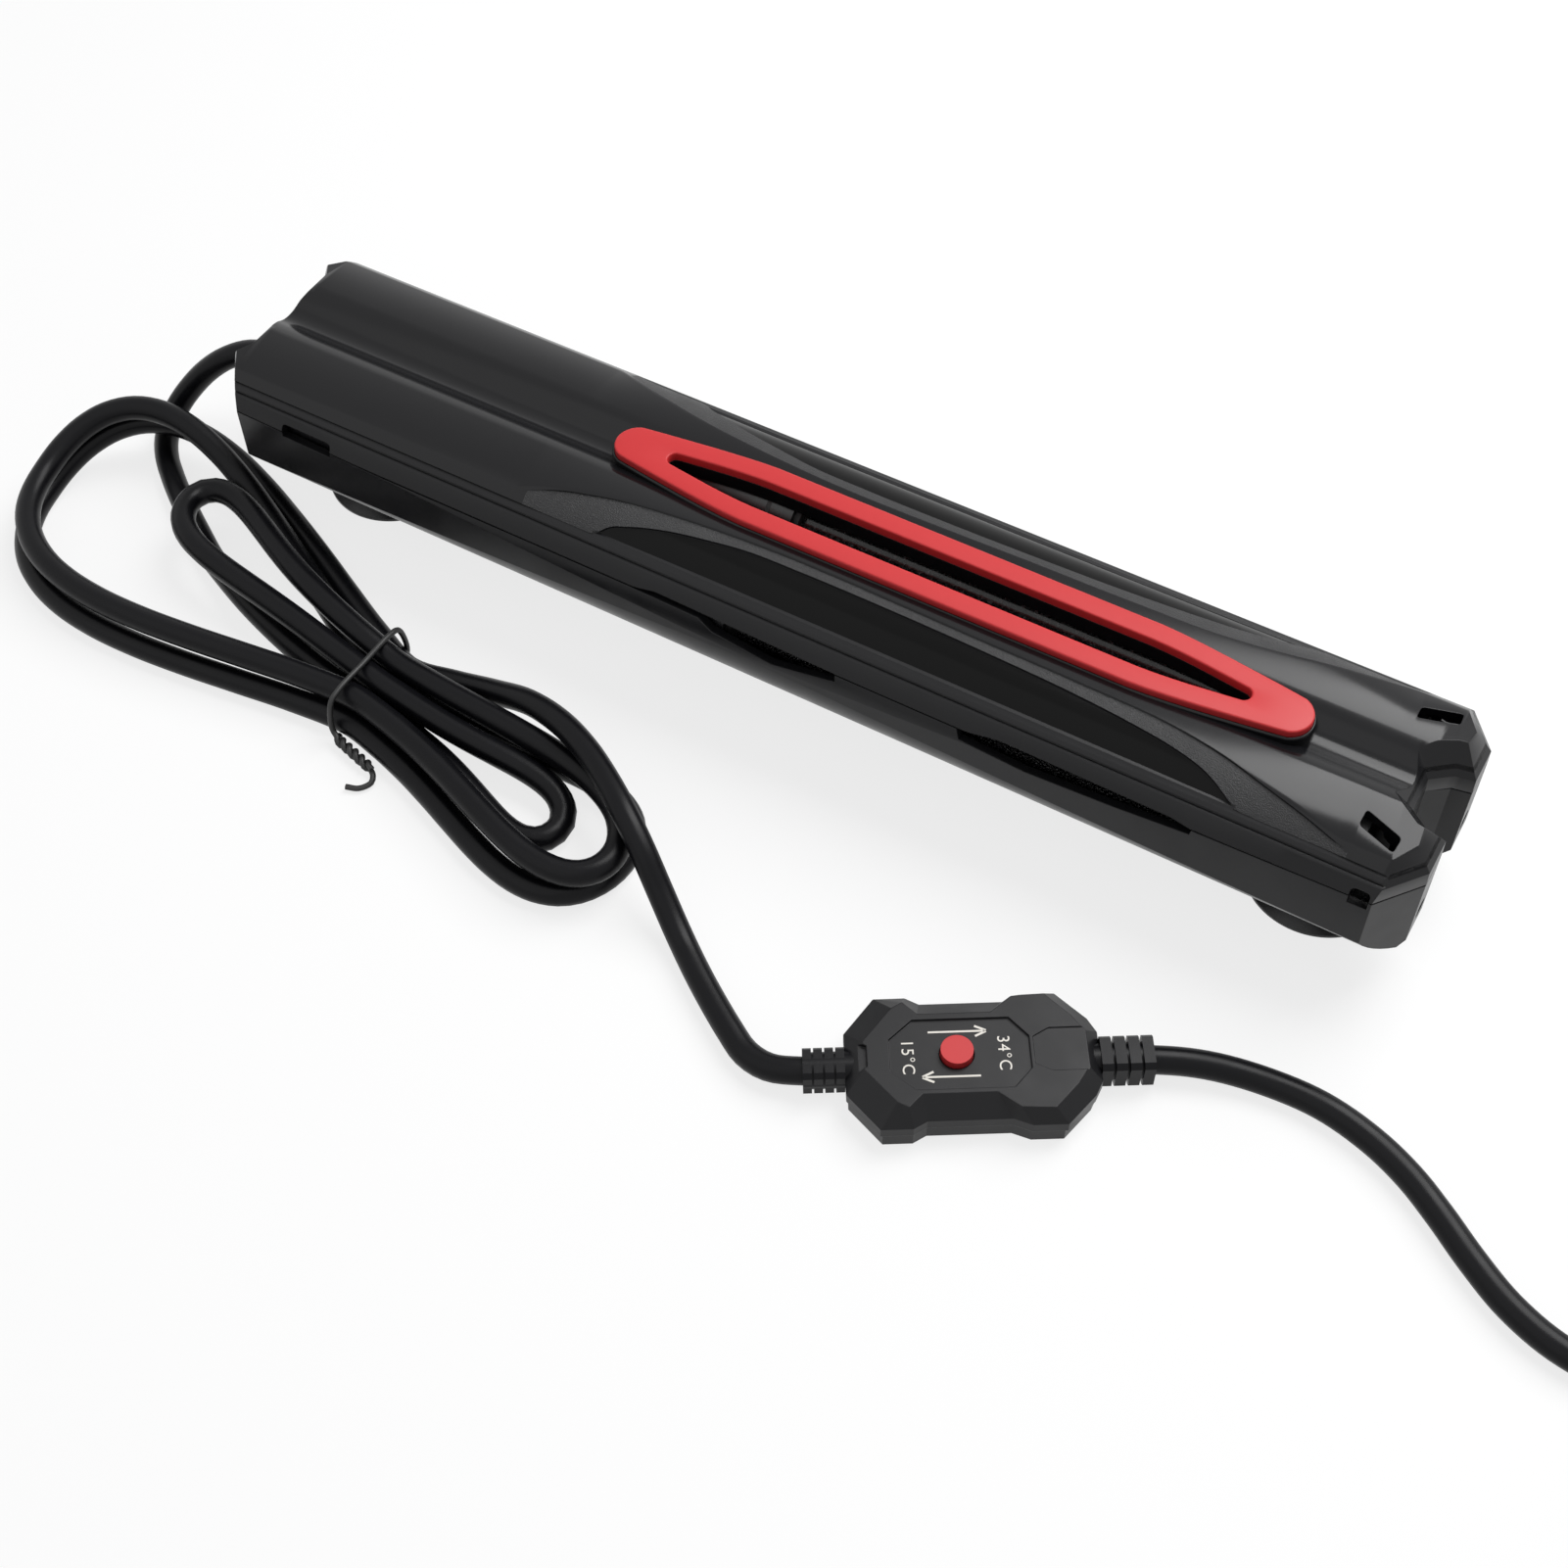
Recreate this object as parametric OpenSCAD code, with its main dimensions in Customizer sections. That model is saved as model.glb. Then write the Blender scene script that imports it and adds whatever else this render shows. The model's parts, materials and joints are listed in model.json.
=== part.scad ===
// Submersible aquarium heater: a twin-lobed guard round two quartz heating tubes and a
// sealed control head, held up by two suction cups, with an in-line temperature controller.
// Millimetres. +X runs from the cord end to the free end, +Z is up, and the suction cups'
// rims stand on Z = 0. The origin is below the middle of the guard.

/* [Guard] */
// Length of the guard
body_l = 315; // [290:1:340]
// Height of the guard's underside above the suction cups' rims
body_floor = 12.5; // [11:0.5:16]
// Radius of each lobe of the guard's section
lobe_r = 17.5; // [16.5:0.25:19]
// Distance from the middle plane to the middle of a lobe
lobe_y = 13.5; // [13:0.25:14.5]
// Wall of the guard's mouldings
wall = 2; // [1.6:0.1:2.2]
// How far the long sides bow outwards at mid length
side_bow = 2.4; // [0:0.2:3]
// Height of the parting line above the underside
parting_h = 23.5; // [22:0.5:25]
// Height of the middle band between the two covers
band_h = 6; // [4:0.5:7]
// Depth of the notch in the free end
notch_depth = 9; // [5:0.5:11]
// Width of the notch in the free end
notch_w = 18; // [14:0.5:20]
// Length of the slanted corners in plan
corner_l = 8; // [4:0.5:10]
// Width of the slanted corners in plan
corner_w = 10; // [6:0.5:12]
// Radius of the guard's upper end edges
end_r = 8; // [4:0.5:10]

/* [Accent ring] */
// Length of the accent ring
ring_l = 176.6; // [150:0.2:190]
// Width of the accent ring
ring_w = 19; // [17:0.2:20]
// Distance from the guard's middle to the ring's middle
ring_x = 34.2; // [25:0.2:40]
// Thickness of the accent ring
ring_t = 2.3; // [1.8:0.1:3]
// How far the ring stands out of its seat
ring_proud = 1.3; // [0.6:0.1:1.6]
// Length of the slot inside the ring
slot_l = 148; // [120:0.2:150]
// Width of the slot inside the ring
slot_w = 8.6; // [6:0.2:10]
// Length over which each end of the ring tapers
ring_taper = 34; // [20:1:45]

/* [Flank decoration] */
// Depth of the long panel pressed into each flank
panel_depth = 1.2; // [0.6:0.1:1.4]
// Depth of the textured strip above that panel
strip_depth = 0.5; // [0.2:0.1:0.6]

/* [Heating tubes] */
// Outer radius of a quartz tube
tube_r = 11; // [10:0.25:12]
// Wall of a quartz tube
tube_t = 1.4; // [1:0.1:2]
// Distance from the tubes' closed ends to the guard's free end
tube_end = 21; // [20:0.5:26]
// Radius of the ceramic core
core_r = 4; // [3:0.25:5]
// Thickness of the resistance winding on the core
winding_t = 1; // [0.6:0.1:1.4]

/* [Control head] */
// Gap between the guard's wall and the control head
head_gap = 0.6; // [0.4:0.1:1]
// Wall of the control head
head_wall = 1.8; // [1.4:0.1:2]
// Length of the control head without its end plate
head_l = 132; // [125:1:134]
// Thickness of the head's end plate
plate_t = 6; // [5:0.5:8]
// Thickness of the circuit boards
board_t = 1.6; // [1.2:0.2:2]

/* [Suction cups] */
// Radius of a suction cup's rim
cup_r = 17.5; // [15:0.5:19]
// Distance from the guard's cord end to the left suction cup
cup_left = 29.5; // [28:0.5:36]
// Distance from the guard's free end to the right suction cup
cup_right = 24.5; // [24:0.5:30]
// Radius of a suction cup's neck
neck_r = 3.7; // [3:0.1:4.2]
// Clearance round a neck in its hole
neck_gap = 0.1; // [0.05:0.05:0.3]

/* [Cord] */
// Diameter of the cord
cord_d = 6.3; // [6.3:0.1:6.4]
// Length of the strain relief outside the guard
relief_l = 6; // [5:0.5:8]

// Thickness of the wire of the twist tie round the hank
tie_wire = 1.6; // [1.2:0.1:2]

/* [Plug] */
// Radius of the plug's face
plug_r = 18.5; // [17.5:0.5:19]
// Length of the plug's body
plug_l = 37; // [34:1:42]
// Radius of a plug pin
pin_r = 2.4; // [2:0.1:2.4]
// Distance between the plug pins
pin_gap = 19; // [18.5:0.5:19]
// Length of the plug pins
pin_l = 19; // [18:0.5:19]

/* [Controller] */
// Length of the controller's housing
ctrl_l = 54.4; // [50:0.2:60]
// Width of the controller's housing
ctrl_w = 32; // [29:0.2:35]
// Height of the controller's housing
ctrl_h = 10.8; // [10.4:0.2:13]
// Height of the controller's lower shell
ctrl_base_h = 3.8; // [3.4:0.1:4.4]
// Wall of the controller's housing
ctrl_wall = 1.5; // [1.2:0.1:1.6]
// Radius of the push button
button_r = 3.5; // [2.8:0.1:3.8]
// Travel of the push button
button_travel = 1.2; // [0.8:0.1:1.4]
// Clearance round the push button
button_gap = 0.2; // [0.15:0.05:0.4]
// How far the push button stands out of its panel
button_proud = 1.8; // [1.6:0.1:2.4]

/* [Hidden] */
$fn = 64;

// Sizes that follow from the ones above.
lobe_z = body_floor + lobe_r;
body_top = lobe_z + lobe_r;
valley_z = lobe_z + sqrt(lobe_r * lobe_r - lobe_y * lobe_y);
parting_z = body_floor + parting_h;
cover_z = parting_z + band_h;
half_l = body_l / 2;
body_w = 2 * (lobe_y + lobe_r);
sink = 0.01;
tall = 100;

// ---------- shapes shared by the guard's mouldings ----------

// Extrudes a section drawn in Y and Z along X, from x0 to x1.
module along_x(x0, x1) {
    translate([x0, 0, 0]) rotate([90, 0, 90]) linear_extrude(x1 - x0) children();
}

// Extrudes an outline drawn in X and Z along Y, from y0 to y1.
module along_y(y0, y1) {
    translate([0, y1, 0]) rotate([90, 0, 0]) linear_extrude(y1 - y0) children();
}

// A cylinder along X.
module rod_x(x0, x1, y, z, r) {
    translate([x0, y, z]) rotate([0, 90, 0]) cylinder(h = x1 - x0, r = r);
}

// The guard's section, drawn in Y and Z: two round lobes and the web between them.
module lobe_section(inset) {
    for (s = [-1, 1]) translate([s * lobe_y, lobe_z]) circle(r = lobe_r - inset, $fn = 96);
    translate([-lobe_y, body_floor + inset])
        square([2 * lobe_y, valley_z - body_floor - 2.2 * inset]);
}

// Half width of the guard in plan at x.
function half_w(x) = body_w / 2 - side_bow * pow(x / half_l, 2);

// The guard's outline in plan on one side, from the cord end to the free end.
function plan_side(inset) = let (x0 = -half_l + corner_l, x1 = half_l - corner_l, n = 16) concat(
    [[-half_l + inset, 0], [-half_l + inset, half_w(half_l) - corner_w - inset * 0.5]],
    [for (i = [0:n]) let (x = x0 + (x1 - x0) * i / n) [x, half_w(x) - inset]],
    [[half_l - inset, half_w(half_l) - corner_w - inset * 0.5],
     [half_l - inset, notch_w / 2 + inset],
     [half_l - notch_depth / 2, notch_w / 2 - 0.8 + inset],
     [half_l - notch_depth - inset, notch_w / 2 - 4 + inset], [half_l - notch_depth - inset, 0]]);

// The whole outline in plan.
module plan_outline(inset) {
    half = plan_side(inset);
    polygon(concat(half, [for (i = [len(half) - 2:-1:1]) [half[i][0], -half[i][1]]]));
}

// The guard's outline from the side, with rounded ends.
module side_outline(inset) {
    x = half_l - inset;
    low = body_floor + inset - 1;
    r = max(end_r - inset, 1);
    polygon(concat([[-x + 3, low], [x - 3, low], [x, low + 4]],
        [for (a = [0:15:90]) [x - r + r * cos(a), body_top - inset - r + r * sin(a)]],
        [for (a = [90:15:180]) [-x + r + r * cos(a), body_top - inset - r + r * sin(a)]],
        [[-x, low + 4]]));
}

// The guard's solid form, with every face moved in by inset.
module guard_form(inset) {
    intersection() {
        along_x(-half_l, half_l) lobe_section(inset);
        linear_extrude(tall) plan_outline(inset);
        along_y(-tall, tall) side_outline(inset);
    }
}

// The same form between x0 and x1.
module form_slice(x0, x1, inset) {
    intersection() {
        guard_form(inset);
        translate([x0, -tall / 2, 0]) cube([x1 - x0, tall, tall]);
    }
}

// Everything between the heights z0 and z1.
module layer(z0, z1) {
    translate([-half_l - 5, -tall / 2, z0]) cube([body_l + 10, tall, z1 - z0]);
}

// The part of the guard's hollow form between two heights.
module guard_shell(z0, z1) {
    intersection() {
        difference() {
            guard_form(0);
            guard_form(wall);
        }
        layer(z0, z1);
    }
}

// An oval with parallel sides and tapered, round ends: the ring's outline and its slot's.
module tapered_oval(l, w, tip_r, taper) {
    flat = l / 2 - taper;
    c = l / 2 - tip_r;
    polygon(concat([[-flat, w / 2], [flat, w / 2]],
        [for (a = [75:-15:-75]) [c + tip_r * cos(a), tip_r * sin(a)]],
        [[flat, -w / 2], [-flat, -w / 2]],
        [for (a = [255:-15:105]) [-c + tip_r * cos(a), tip_r * sin(a)]]));
}

module ring_outline(grow) {
    translate([ring_x, 0])
        tapered_oval(ring_l + 2 * grow, ring_w + 2 * grow, ring_w * 0.3 + grow, ring_taper);
}

module slot_outline(grow) {
    translate([ring_x, 0])
        tapered_oval(slot_l + 2 * grow, slot_w + 2 * grow, slot_w * 0.23 + grow, ring_taper * 0.6);
}

seat_top = body_top + 0.3;
ring_z = seat_top + ring_proud - ring_t;

// ---------- flank decoration ----------

// The upper edge of the textured strip, and the edge between strip and panel, in plan on
// the side at -Y, as distances from the lobe's middle line.
strip_top = [[-62, -7], [-46, -3.5], [-27, -0.7], [0, 0.9], [50, 0.3], [97, -0.9],
             [109, -2.9], [120, -5.8], [130, -8], [138, -10.2]];
strip_low = [[115, -11.3], [108, -7.7], [99, -5.5], [75, -2.9], [26, -1.6], [-10, -1.9],
             [-19, -3.5], [-29, -5.2], [-38, -8], [-43, -10.3], [-44.5, -12.3]];

function on_lobe(points, s) = [for (p = points) [p[0], s * (lobe_y - p[1])]];

module strip_outline(s) {
    polygon(on_lobe(concat(strip_top, strip_low), s));
}

module panel_outline(s) {
    polygon(on_lobe(concat(strip_low, [[-44.5, -30], [115, -30]]), s));
}

// What is cut out of the top cover's outer face to a depth, inside an outline.
module face_cut(depth) {
    difference() {
        linear_extrude(tall) children();
        guard_form(depth);
    }
}

// ---------- vents ----------

// Side vents, drawn in X and Z from the parting line.
long_vents = [
    [[-34, 0], [-26, 1.2], [22, 0.4], [22.5, -1.5], [6, -4.4], [-10, -2.5], [-14, -0.4]],
    [[53, 0], [63, 1.4], [104, 1], [109.3, 0.3], [109, -1.5], [91, -2.9], [70, -3.8], [54, -2.4]]];
short_vents = [[-135, -120, -1.2, 2.4], [144.4, 148.8, -2.2, 2.5]];

module side_vents() {
    along_y(-tall / 2, tall / 2) {
        for (v = long_vents) polygon([for (p = v) [p[0], parting_z + p[1]]]);
        for (v = short_vents) translate([v[0], parting_z + v[2]]) square([v[1] - v[0], v[3] - v[2]]);
    }
}

// The side vents go through the walls only: this keeps the middle of the guard clear of them.
module wall_vents() {
    difference() {
        side_vents();
        translate([-half_l, -lobe_y, 0]) cube([body_l, 2 * lobe_y, tall]);
    }
}

// Slanted slots through the lobes at the free end.
lobe_slot = [[141.3, 0.7], [149.3, 3.8], [149, 6.8], [141, 3.9]];

module lobe_slots() {
    for (s = [-1, 1]) translate([0, 0, lobe_z]) linear_extrude(tall)
        polygon([for (p = lobe_slot) [p[0], s * (lobe_y + p[1])]]);
}

// Vents in the end faces of the two tines at the free end.
module end_vents() {
    for (s = [-1, 1]) rod_x(half_l - wall - 1, half_l + 1, s * lobe_y, body_floor + 9, 2.4);
}

// ---------- screws through the guard ----------

boss_r = 3;
screw_r = 1.5;
screw_head_r = 2.8;
guard_boss = [[-half_l + 6.4, lobe_y], [half_l - 6.9, lobe_y + 1.2]];
boss_split = parting_z - 2;
boss_foot_r = 4.6;
boss_foot_h = 5;

module at_guard_bosses() {
    for (p = guard_boss, s = [-1, 1]) translate([p[0], s * p[1], 0]) children();
}

// ---------- cups ----------

cup_x = [-half_l + cup_left, half_l - cup_right];
collar_r = 6;
knob_r = 5.2;
knob_h = 2.4;
knob_z = body_floor + wall + neck_gap;

module suction_cup(x) {
    collar_z = body_floor - neck_gap;
    translate([x, 0, 0]) color([0.05, 0.05, 0.05]) rotate_extrude($fn = 96)
        polygon([[0, 5], [6, 4.4], [12, 2.2], [cup_r - 0.6, 0], [cup_r, 0], [cup_r, 0.7],
                 [cup_r - 3.5, 3.2], [9, 6.8], [collar_r, 8.6], [collar_r, collar_z],
                 [neck_r, collar_z], [neck_r, knob_z], [knob_r, knob_z],
                 [knob_r - 0.8, knob_z + knob_h], [0, knob_z + knob_h]]);
}

module suction_cup_left() { suction_cup(cup_x[0]); }
module suction_cup_right() { suction_cup(cup_x[1]); }

// ---------- guard ----------

// The middle of the guard between the lobes belongs to the top cover down to the parting line.
spine_w = 16;

module spine(gap) {
    translate([-half_l - 5, -spine_w / 2 - gap, 0]) cube([body_l + 10, spine_w + 2 * gap, tall]);
}

module top_cover() {
    color([0.07, 0.07, 0.08]) difference() {
        union() {
            guard_shell(cover_z, tall);
            intersection() {
                guard_shell(parting_z, tall);
                spine(0);
            }
            // The seat below the ring fills the valley down to the control head's clearance.
            difference() {
                translate([0, 0, valley_z - 6]) linear_extrude(seat_top - valley_z + 6)
                    ring_outline(1.2);
                guard_form(wall);
            }
            intersection() {
                at_guard_bosses() translate([0, 0, boss_split])
                    cylinder(h = body_top - boss_split, r = boss_r);
                guard_form(0.5);
            }
        }
        translate([0, 0, ring_z]) linear_extrude(tall) ring_outline(0.15);
        linear_extrude(tall) slot_outline(0);
        for (s = [-1, 1]) {
            face_cut(panel_depth) panel_outline(s);
            face_cut(strip_depth) strip_outline(s);
        }
        lobe_slots();
        at_guard_bosses() cylinder(h = boss_split + 7, r = screw_r - 0.3);
    }
}

// The band between the covers on one side, outside the spine.
module middle_band(s) {
    color([0.13, 0.13, 0.14]) difference() {
        intersection() {
            guard_shell(parting_z, cover_z);
            translate([-half_l - 1, s * tall / 2 - tall / 2, 0]) cube([body_l + 2, tall, tall]);
        }
        wall_vents();
        spine(0);
    }
}

module middle_band_front() { middle_band(-1); }
module middle_band_rear() { middle_band(1); }

// Saddles of the lower shell that carry the tubes' rubber bumpers.
bumper_l = 12;
bumper_cover = 6;
bumper_x = half_l - tube_end - bumper_cover;
bumper_t = 1.6;

module bumper_saddles() {
    intersection() {
        difference() {
            for (x = [bumper_x + 1, bumper_x + bumper_l - 4])
                translate([x, -tall / 2, 0]) cube([3, tall, lobe_z - 2]);
            for (s = [-1, 1])
                rod_x(bumper_x - 5, bumper_x + bumper_l + 5, s * lobe_y, lobe_z, tube_r + bumper_t);
            translate([cup_x[1], 0, 0]) cylinder(h = knob_z + knob_h + 1, r = knob_r + 1);
        }
        guard_form(wall - sink);
    }
}

module lower_shell() {
    color([0.11, 0.11, 0.12]) difference() {
        union() {
            guard_shell(0, parting_z);
            bumper_saddles();
            intersection() {
                at_guard_bosses() translate([0, 0, body_floor]) {
                    cylinder(h = boss_split - body_floor, r = boss_r);
                    cylinder(h = boss_foot_h, r = boss_foot_r);
                }
                guard_form(0.5);
            }
        }
        wall_vents();
        end_vents();
        for (x = cup_x) translate([x, 0, 0]) cylinder(h = lobe_z, r = neck_r + neck_gap);
        at_guard_bosses() cylinder(h = tall, r = screw_r + 0.2);
        at_guard_bosses() cylinder(h = body_floor + 3, r = screw_head_r + 0.2);
        rod_x(-half_l - 1, -half_l + wall + 1, 0, gland_z, gland_r);
    }
}

module accent_ring() {
    color([0.8, 0.07, 0.08]) translate([0, 0, ring_z]) linear_extrude(ring_t) difference() {
        ring_outline(0);
        slot_outline(0);
    }
}

module guard_screws() {
    color([0.75, 0.75, 0.77]) at_guard_bosses() {
        translate([0, 0, body_floor + 3]) cylinder(h = boss_split + 3 - body_floor, r = screw_r - 0.3);
        translate([0, 0, body_floor + 1]) cylinder(h = 2, r = screw_head_r);
    }
}

// ---------- control head ----------

head_inset = wall + head_gap;
head_x0 = -half_l + 11;
head_x1 = head_x0 + head_l;
plate_x1 = head_x1 + plate_t;
seal_t = 1;
tube_x0 = head_x1 - 6;
tube_x1 = half_l - tube_end;
seal_r = tube_r + 2;
lead_r = 0.9;
board_z = lobe_z - lead_r - board_t;
board_top = board_z + board_t;
gland_r = 5;
gland_z = 26;

module control_head() {
    color([0.16, 0.16, 0.17]) difference() {
        union() {
            difference() {
                form_slice(head_x0, head_x1 - seal_t, head_inset);
                form_slice(head_x0 + head_wall, head_x1, head_inset + head_wall);
            }
            // Thick patch over the suction cup's knob, and rails for the circuit board.
            intersection() {
                translate([cup_x[0], 0, 0]) cylinder(h = knob_z + knob_h + 2.6, r = knob_r + 3);
                form_slice(head_x0, head_x1, head_inset);
            }
            for (s = [-1, 1]) intersection() {
                translate([head_x0 + 6, s * (board_half - 2) - 4, board_z - 3])
                    cube([head_l - 20, 8, 3]);
                form_slice(head_x0, head_x1, head_inset + head_wall - sink);
            }
        }
        translate([cup_x[0], 0, 0]) cylinder(h = knob_z + knob_h + 0.8, r = knob_r + 0.6);
        rod_x(head_x0 - 1, head_x0 + head_wall + 1, 0, gland_z, gland_r);
    }
}

module head_end_plate() {
    color([0.16, 0.16, 0.17]) difference() {
        form_slice(head_x1, plate_x1, head_inset);
        for (s = [-1, 1]) rod_x(head_x1 - 1, plate_x1 + 1, s * lobe_y, lobe_z, seal_r);
        rod_x(head_x1 - 1, plate_x1 + 1, 0, probe_z, probe_r);
    }
}

module head_seal() {
    color([0.35, 0.35, 0.36]) difference() {
        form_slice(head_x1 - seal_t, head_x1, head_inset);
        form_slice(head_x1 - seal_t - 1, head_x1 + 1, head_inset + head_wall);
    }
}

board_x0 = head_x0 + 8;
board_x1 = head_x1 - 16;
board_half = half_w(board_x0) - head_inset - head_wall - 0.7;

module circuit_board() {
    color([0.05, 0.3, 0.12])
        translate([board_x0, -board_half, board_z])
            cube([board_x1 - board_x0, 2 * board_half, board_t]);
}

module display_module() {
    color([0.1, 0.1, 0.1])
        translate([board_x0 + 20, -9, board_top]) cube([26, 18, 3.6]);
}

module relay() {
    color([0.1, 0.2, 0.5])
        translate([board_x0 + 62, 7, board_top]) cube([19, 13, 9]);
}

module capacitor() {
    color([0.3, 0.3, 0.32])
        translate([board_x0 + 70, -13.5, board_top]) cylinder(h = 9, r = 4);
}

module thermal_fuse() {
    color([0.7, 0.7, 0.7]) rod_x(board_x0 + 90, board_x0 + 102, -6, board_top + 2, 2);
}

probe_r = 2.5;
probe_z = body_floor + head_inset + probe_r + 3.2;

module temperature_probe() {
    color([0.75, 0.75, 0.77]) rod_x(head_x1 - 2, plate_x1 + 8, 0, probe_z, probe_r);
}

// The rubber gland goes through both end walls and tapers along the cord.
module cable_gland() {
    x0 = -half_l - relief_l;
    color([0.05, 0.05, 0.05]) difference() {
        union() {
            rod_x(-half_l, head_x0 + head_wall, 0, gland_z, gland_r);
            rod_x(head_x0 + head_wall, head_x0 + head_wall + 2, 0, gland_z, gland_r + 1.5);
            rod_x(-half_l + wall + 0.4, head_x0 - 0.4, 0, gland_z, gland_r + 0.8);
            translate([x0, 0, gland_z]) rotate([0, 90, 0])
                cylinder(h = relief_l, r1 = cord_d / 2 + 0.7, r2 = gland_r - 0.2);
        }
        rod_x(x0 - 1, head_x0 + head_wall + 3, 0, gland_z, cord_d / 2);
    }
}

// ---------- heating tubes ----------

core_x0 = plate_x1 + 6;
core_x1 = tube_x1 - 8;
fill_x0 = plate_x1 + 0.5;
fill_x1 = tube_x1 - 3;

// The tube is closed at its free end.
module quartz_tube(s) {
    color([0.1, 0.1, 0.12, 0.6]) difference() {
        rod_x(tube_x0, tube_x1, s * lobe_y, lobe_z, tube_r);
        rod_x(tube_x0 - 1, tube_x1 - 2, s * lobe_y, lobe_z, tube_r - tube_t);
    }
}

module granule_fill(s) {
    color([0.03, 0.03, 0.03]) difference() {
        rod_x(fill_x0, fill_x1, s * lobe_y, lobe_z, tube_r - tube_t);
        rod_x(core_x0, core_x1, s * lobe_y, lobe_z, core_r + winding_t);
        rod_x(fill_x0 - 1, core_x0 + 1, s * lobe_y, lobe_z, lead_r + 0.2);
    }
}

module heating_winding(s) {
    color([0.55, 0.5, 0.45]) difference() {
        rod_x(core_x0, core_x1, s * lobe_y, lobe_z, core_r + winding_t);
        rod_x(core_x0 - 1, core_x1 + 1, s * lobe_y, lobe_z, core_r);
    }
}

module ceramic_core(s) {
    color([0.9, 0.88, 0.82]) rod_x(core_x0, core_x1, s * lobe_y, lobe_z, core_r);
}

module tube_seal(s) {
    color([0.3, 0.05, 0.04]) difference() {
        union() {
            rod_x(head_x1, plate_x1, s * lobe_y, lobe_z, seal_r);
            rod_x(plate_x1, plate_x1 + 1.5, s * lobe_y, lobe_z, min(seal_r + 0.6, lobe_y - 0.1));
        }
        rod_x(head_x1 - 1, plate_x1 + 3, s * lobe_y, lobe_z, tube_r);
    }
}

// A rubber cap over the tube's free end, which sits in the lower shell's saddles.
module tube_bumper(s) {
    color([0.05, 0.05, 0.05]) difference() {
        rod_x(bumper_x, bumper_x + bumper_l, s * lobe_y, lobe_z, tube_r + bumper_t);
        rod_x(bumper_x - 1, tube_x1, s * lobe_y, lobe_z, tube_r);
    }
}

// One insulated lead runs from the board along each tube's axis to its core.
module power_leads() {
    color([0.75, 0.1, 0.1]) for (s = [-1, 1])
        rod_x(board_x1 - 12, core_x0, s * lobe_y, lobe_z, lead_r);
}

module quartz_tube_front() { quartz_tube(-1); }
module quartz_tube_rear() { quartz_tube(1); }
module granule_fill_front() { granule_fill(-1); }
module granule_fill_rear() { granule_fill(1); }
module ceramic_core_front() { ceramic_core(-1); }
module ceramic_core_rear() { ceramic_core(1); }
module heating_winding_front() { heating_winding(-1); }
module heating_winding_rear() { heating_winding(1); }
module tube_seal_front() { tube_seal(-1); }
module tube_seal_rear() { tube_seal(1); }
module tube_bumper_front() { tube_bumper(-1); }
module tube_bumper_rear() { tube_bumper(1); }

// ---------- controller ----------

ctrl_pos = [88.4, -87.1, 0];
ctrl_yaw = 32;
button_u = -3.5;
ctrl_cord_z = cord_d / 2 + 1.85;
panel_z = ctrl_h - 0.6;

module at_controller() {
    translate(ctrl_pos) rotate([0, 0, ctrl_yaw]) children();
}

// The housing's outline in plan: an octagon drawn in a little along its long sides.
module ctrl_outline(inset) {
    l = ctrl_l / 2 - inset;
    w = ctrl_w / 2 - inset;
    half = [[-l, w - 8.6], [-l + 6.8, w], [-13.5, w], [-10.5, w - 1.7], [7.5, w - 1.7],
            [11.5, w], [l - 8.2, w], [l - 1.8, w - 6.6], [l, w - 10]];
    polygon(concat(half, [for (i = [len(half) - 1:-1:0]) [half[i][0], -half[i][1]]]));
}

// The flat panel in the middle of the top.
module ctrl_panel() {
    polygon([[-17.8, 3.6], [-12.6, 8.3], [8.1, 8.3], [12.1, 3.6], [12.1, -4.2], [8.1, -8.7],
             [-12.6, -8.7], [-17.8, -4.2]]);
}

slope_z = ctrl_h - 1.9;
slope_x = 5.4;
slope_y = 5.2;

// The upper shell's outer form: upright walls, then faces that slope in to a flat top.
module ctrl_upper(inset) {
    l = ctrl_l / 2 - inset;
    w = ctrl_w / 2 - inset;
    top = ctrl_h - inset;
    edge = slope_z - inset;
    intersection() {
        translate([0, 0, ctrl_base_h]) linear_extrude(top - ctrl_base_h) ctrl_outline(inset);
        along_y(-w - 1, w + 1)
            polygon([[-l, 0], [-l, edge], [slope_x - l, top], [l - slope_x, top], [l, edge], [l, 0]]);
        along_x(-l - 1, l + 1)
            polygon([[-w, 0], [-w, edge], [slope_y - w, top], [w - slope_y, top], [w, edge], [w, 0]]);
    }
}

// The end walls' openings for the two strain reliefs.
module relief_bores() {
    for (x = [-ctrl_l / 2 - 1, ctrl_l / 2 - ctrl_wall - 1])
        rod_x(x, x + ctrl_wall + 2, 0, ctrl_cord_z, cord_d / 2 + 0.8);
}

ctrl_screw = [ctrl_l / 2 - 9.5, ctrl_w / 2 - 5.6];

module at_ctrl_screws() {
    for (s = [-1, 1], t = [-1, 1]) translate([s * ctrl_screw[0], t * ctrl_screw[1], 0]) children();
}

module controller_base() {
    color([0.12, 0.12, 0.13]) at_controller() difference() {
        union() {
            difference() {
                linear_extrude(ctrl_base_h) ctrl_outline(0.5);
                translate([0, 0, ctrl_wall]) linear_extrude(tall) ctrl_outline(ctrl_wall + 0.5);
            }
            at_ctrl_screws() cylinder(h = ctrl_base_h, r = 3);
        }
        relief_bores();
        at_ctrl_screws() translate([0, 0, -1]) cylinder(h = tall, r = 1.3);
        at_ctrl_screws() translate([0, 0, -1]) cylinder(h = 2.6, r = 2.2);
    }
}

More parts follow.
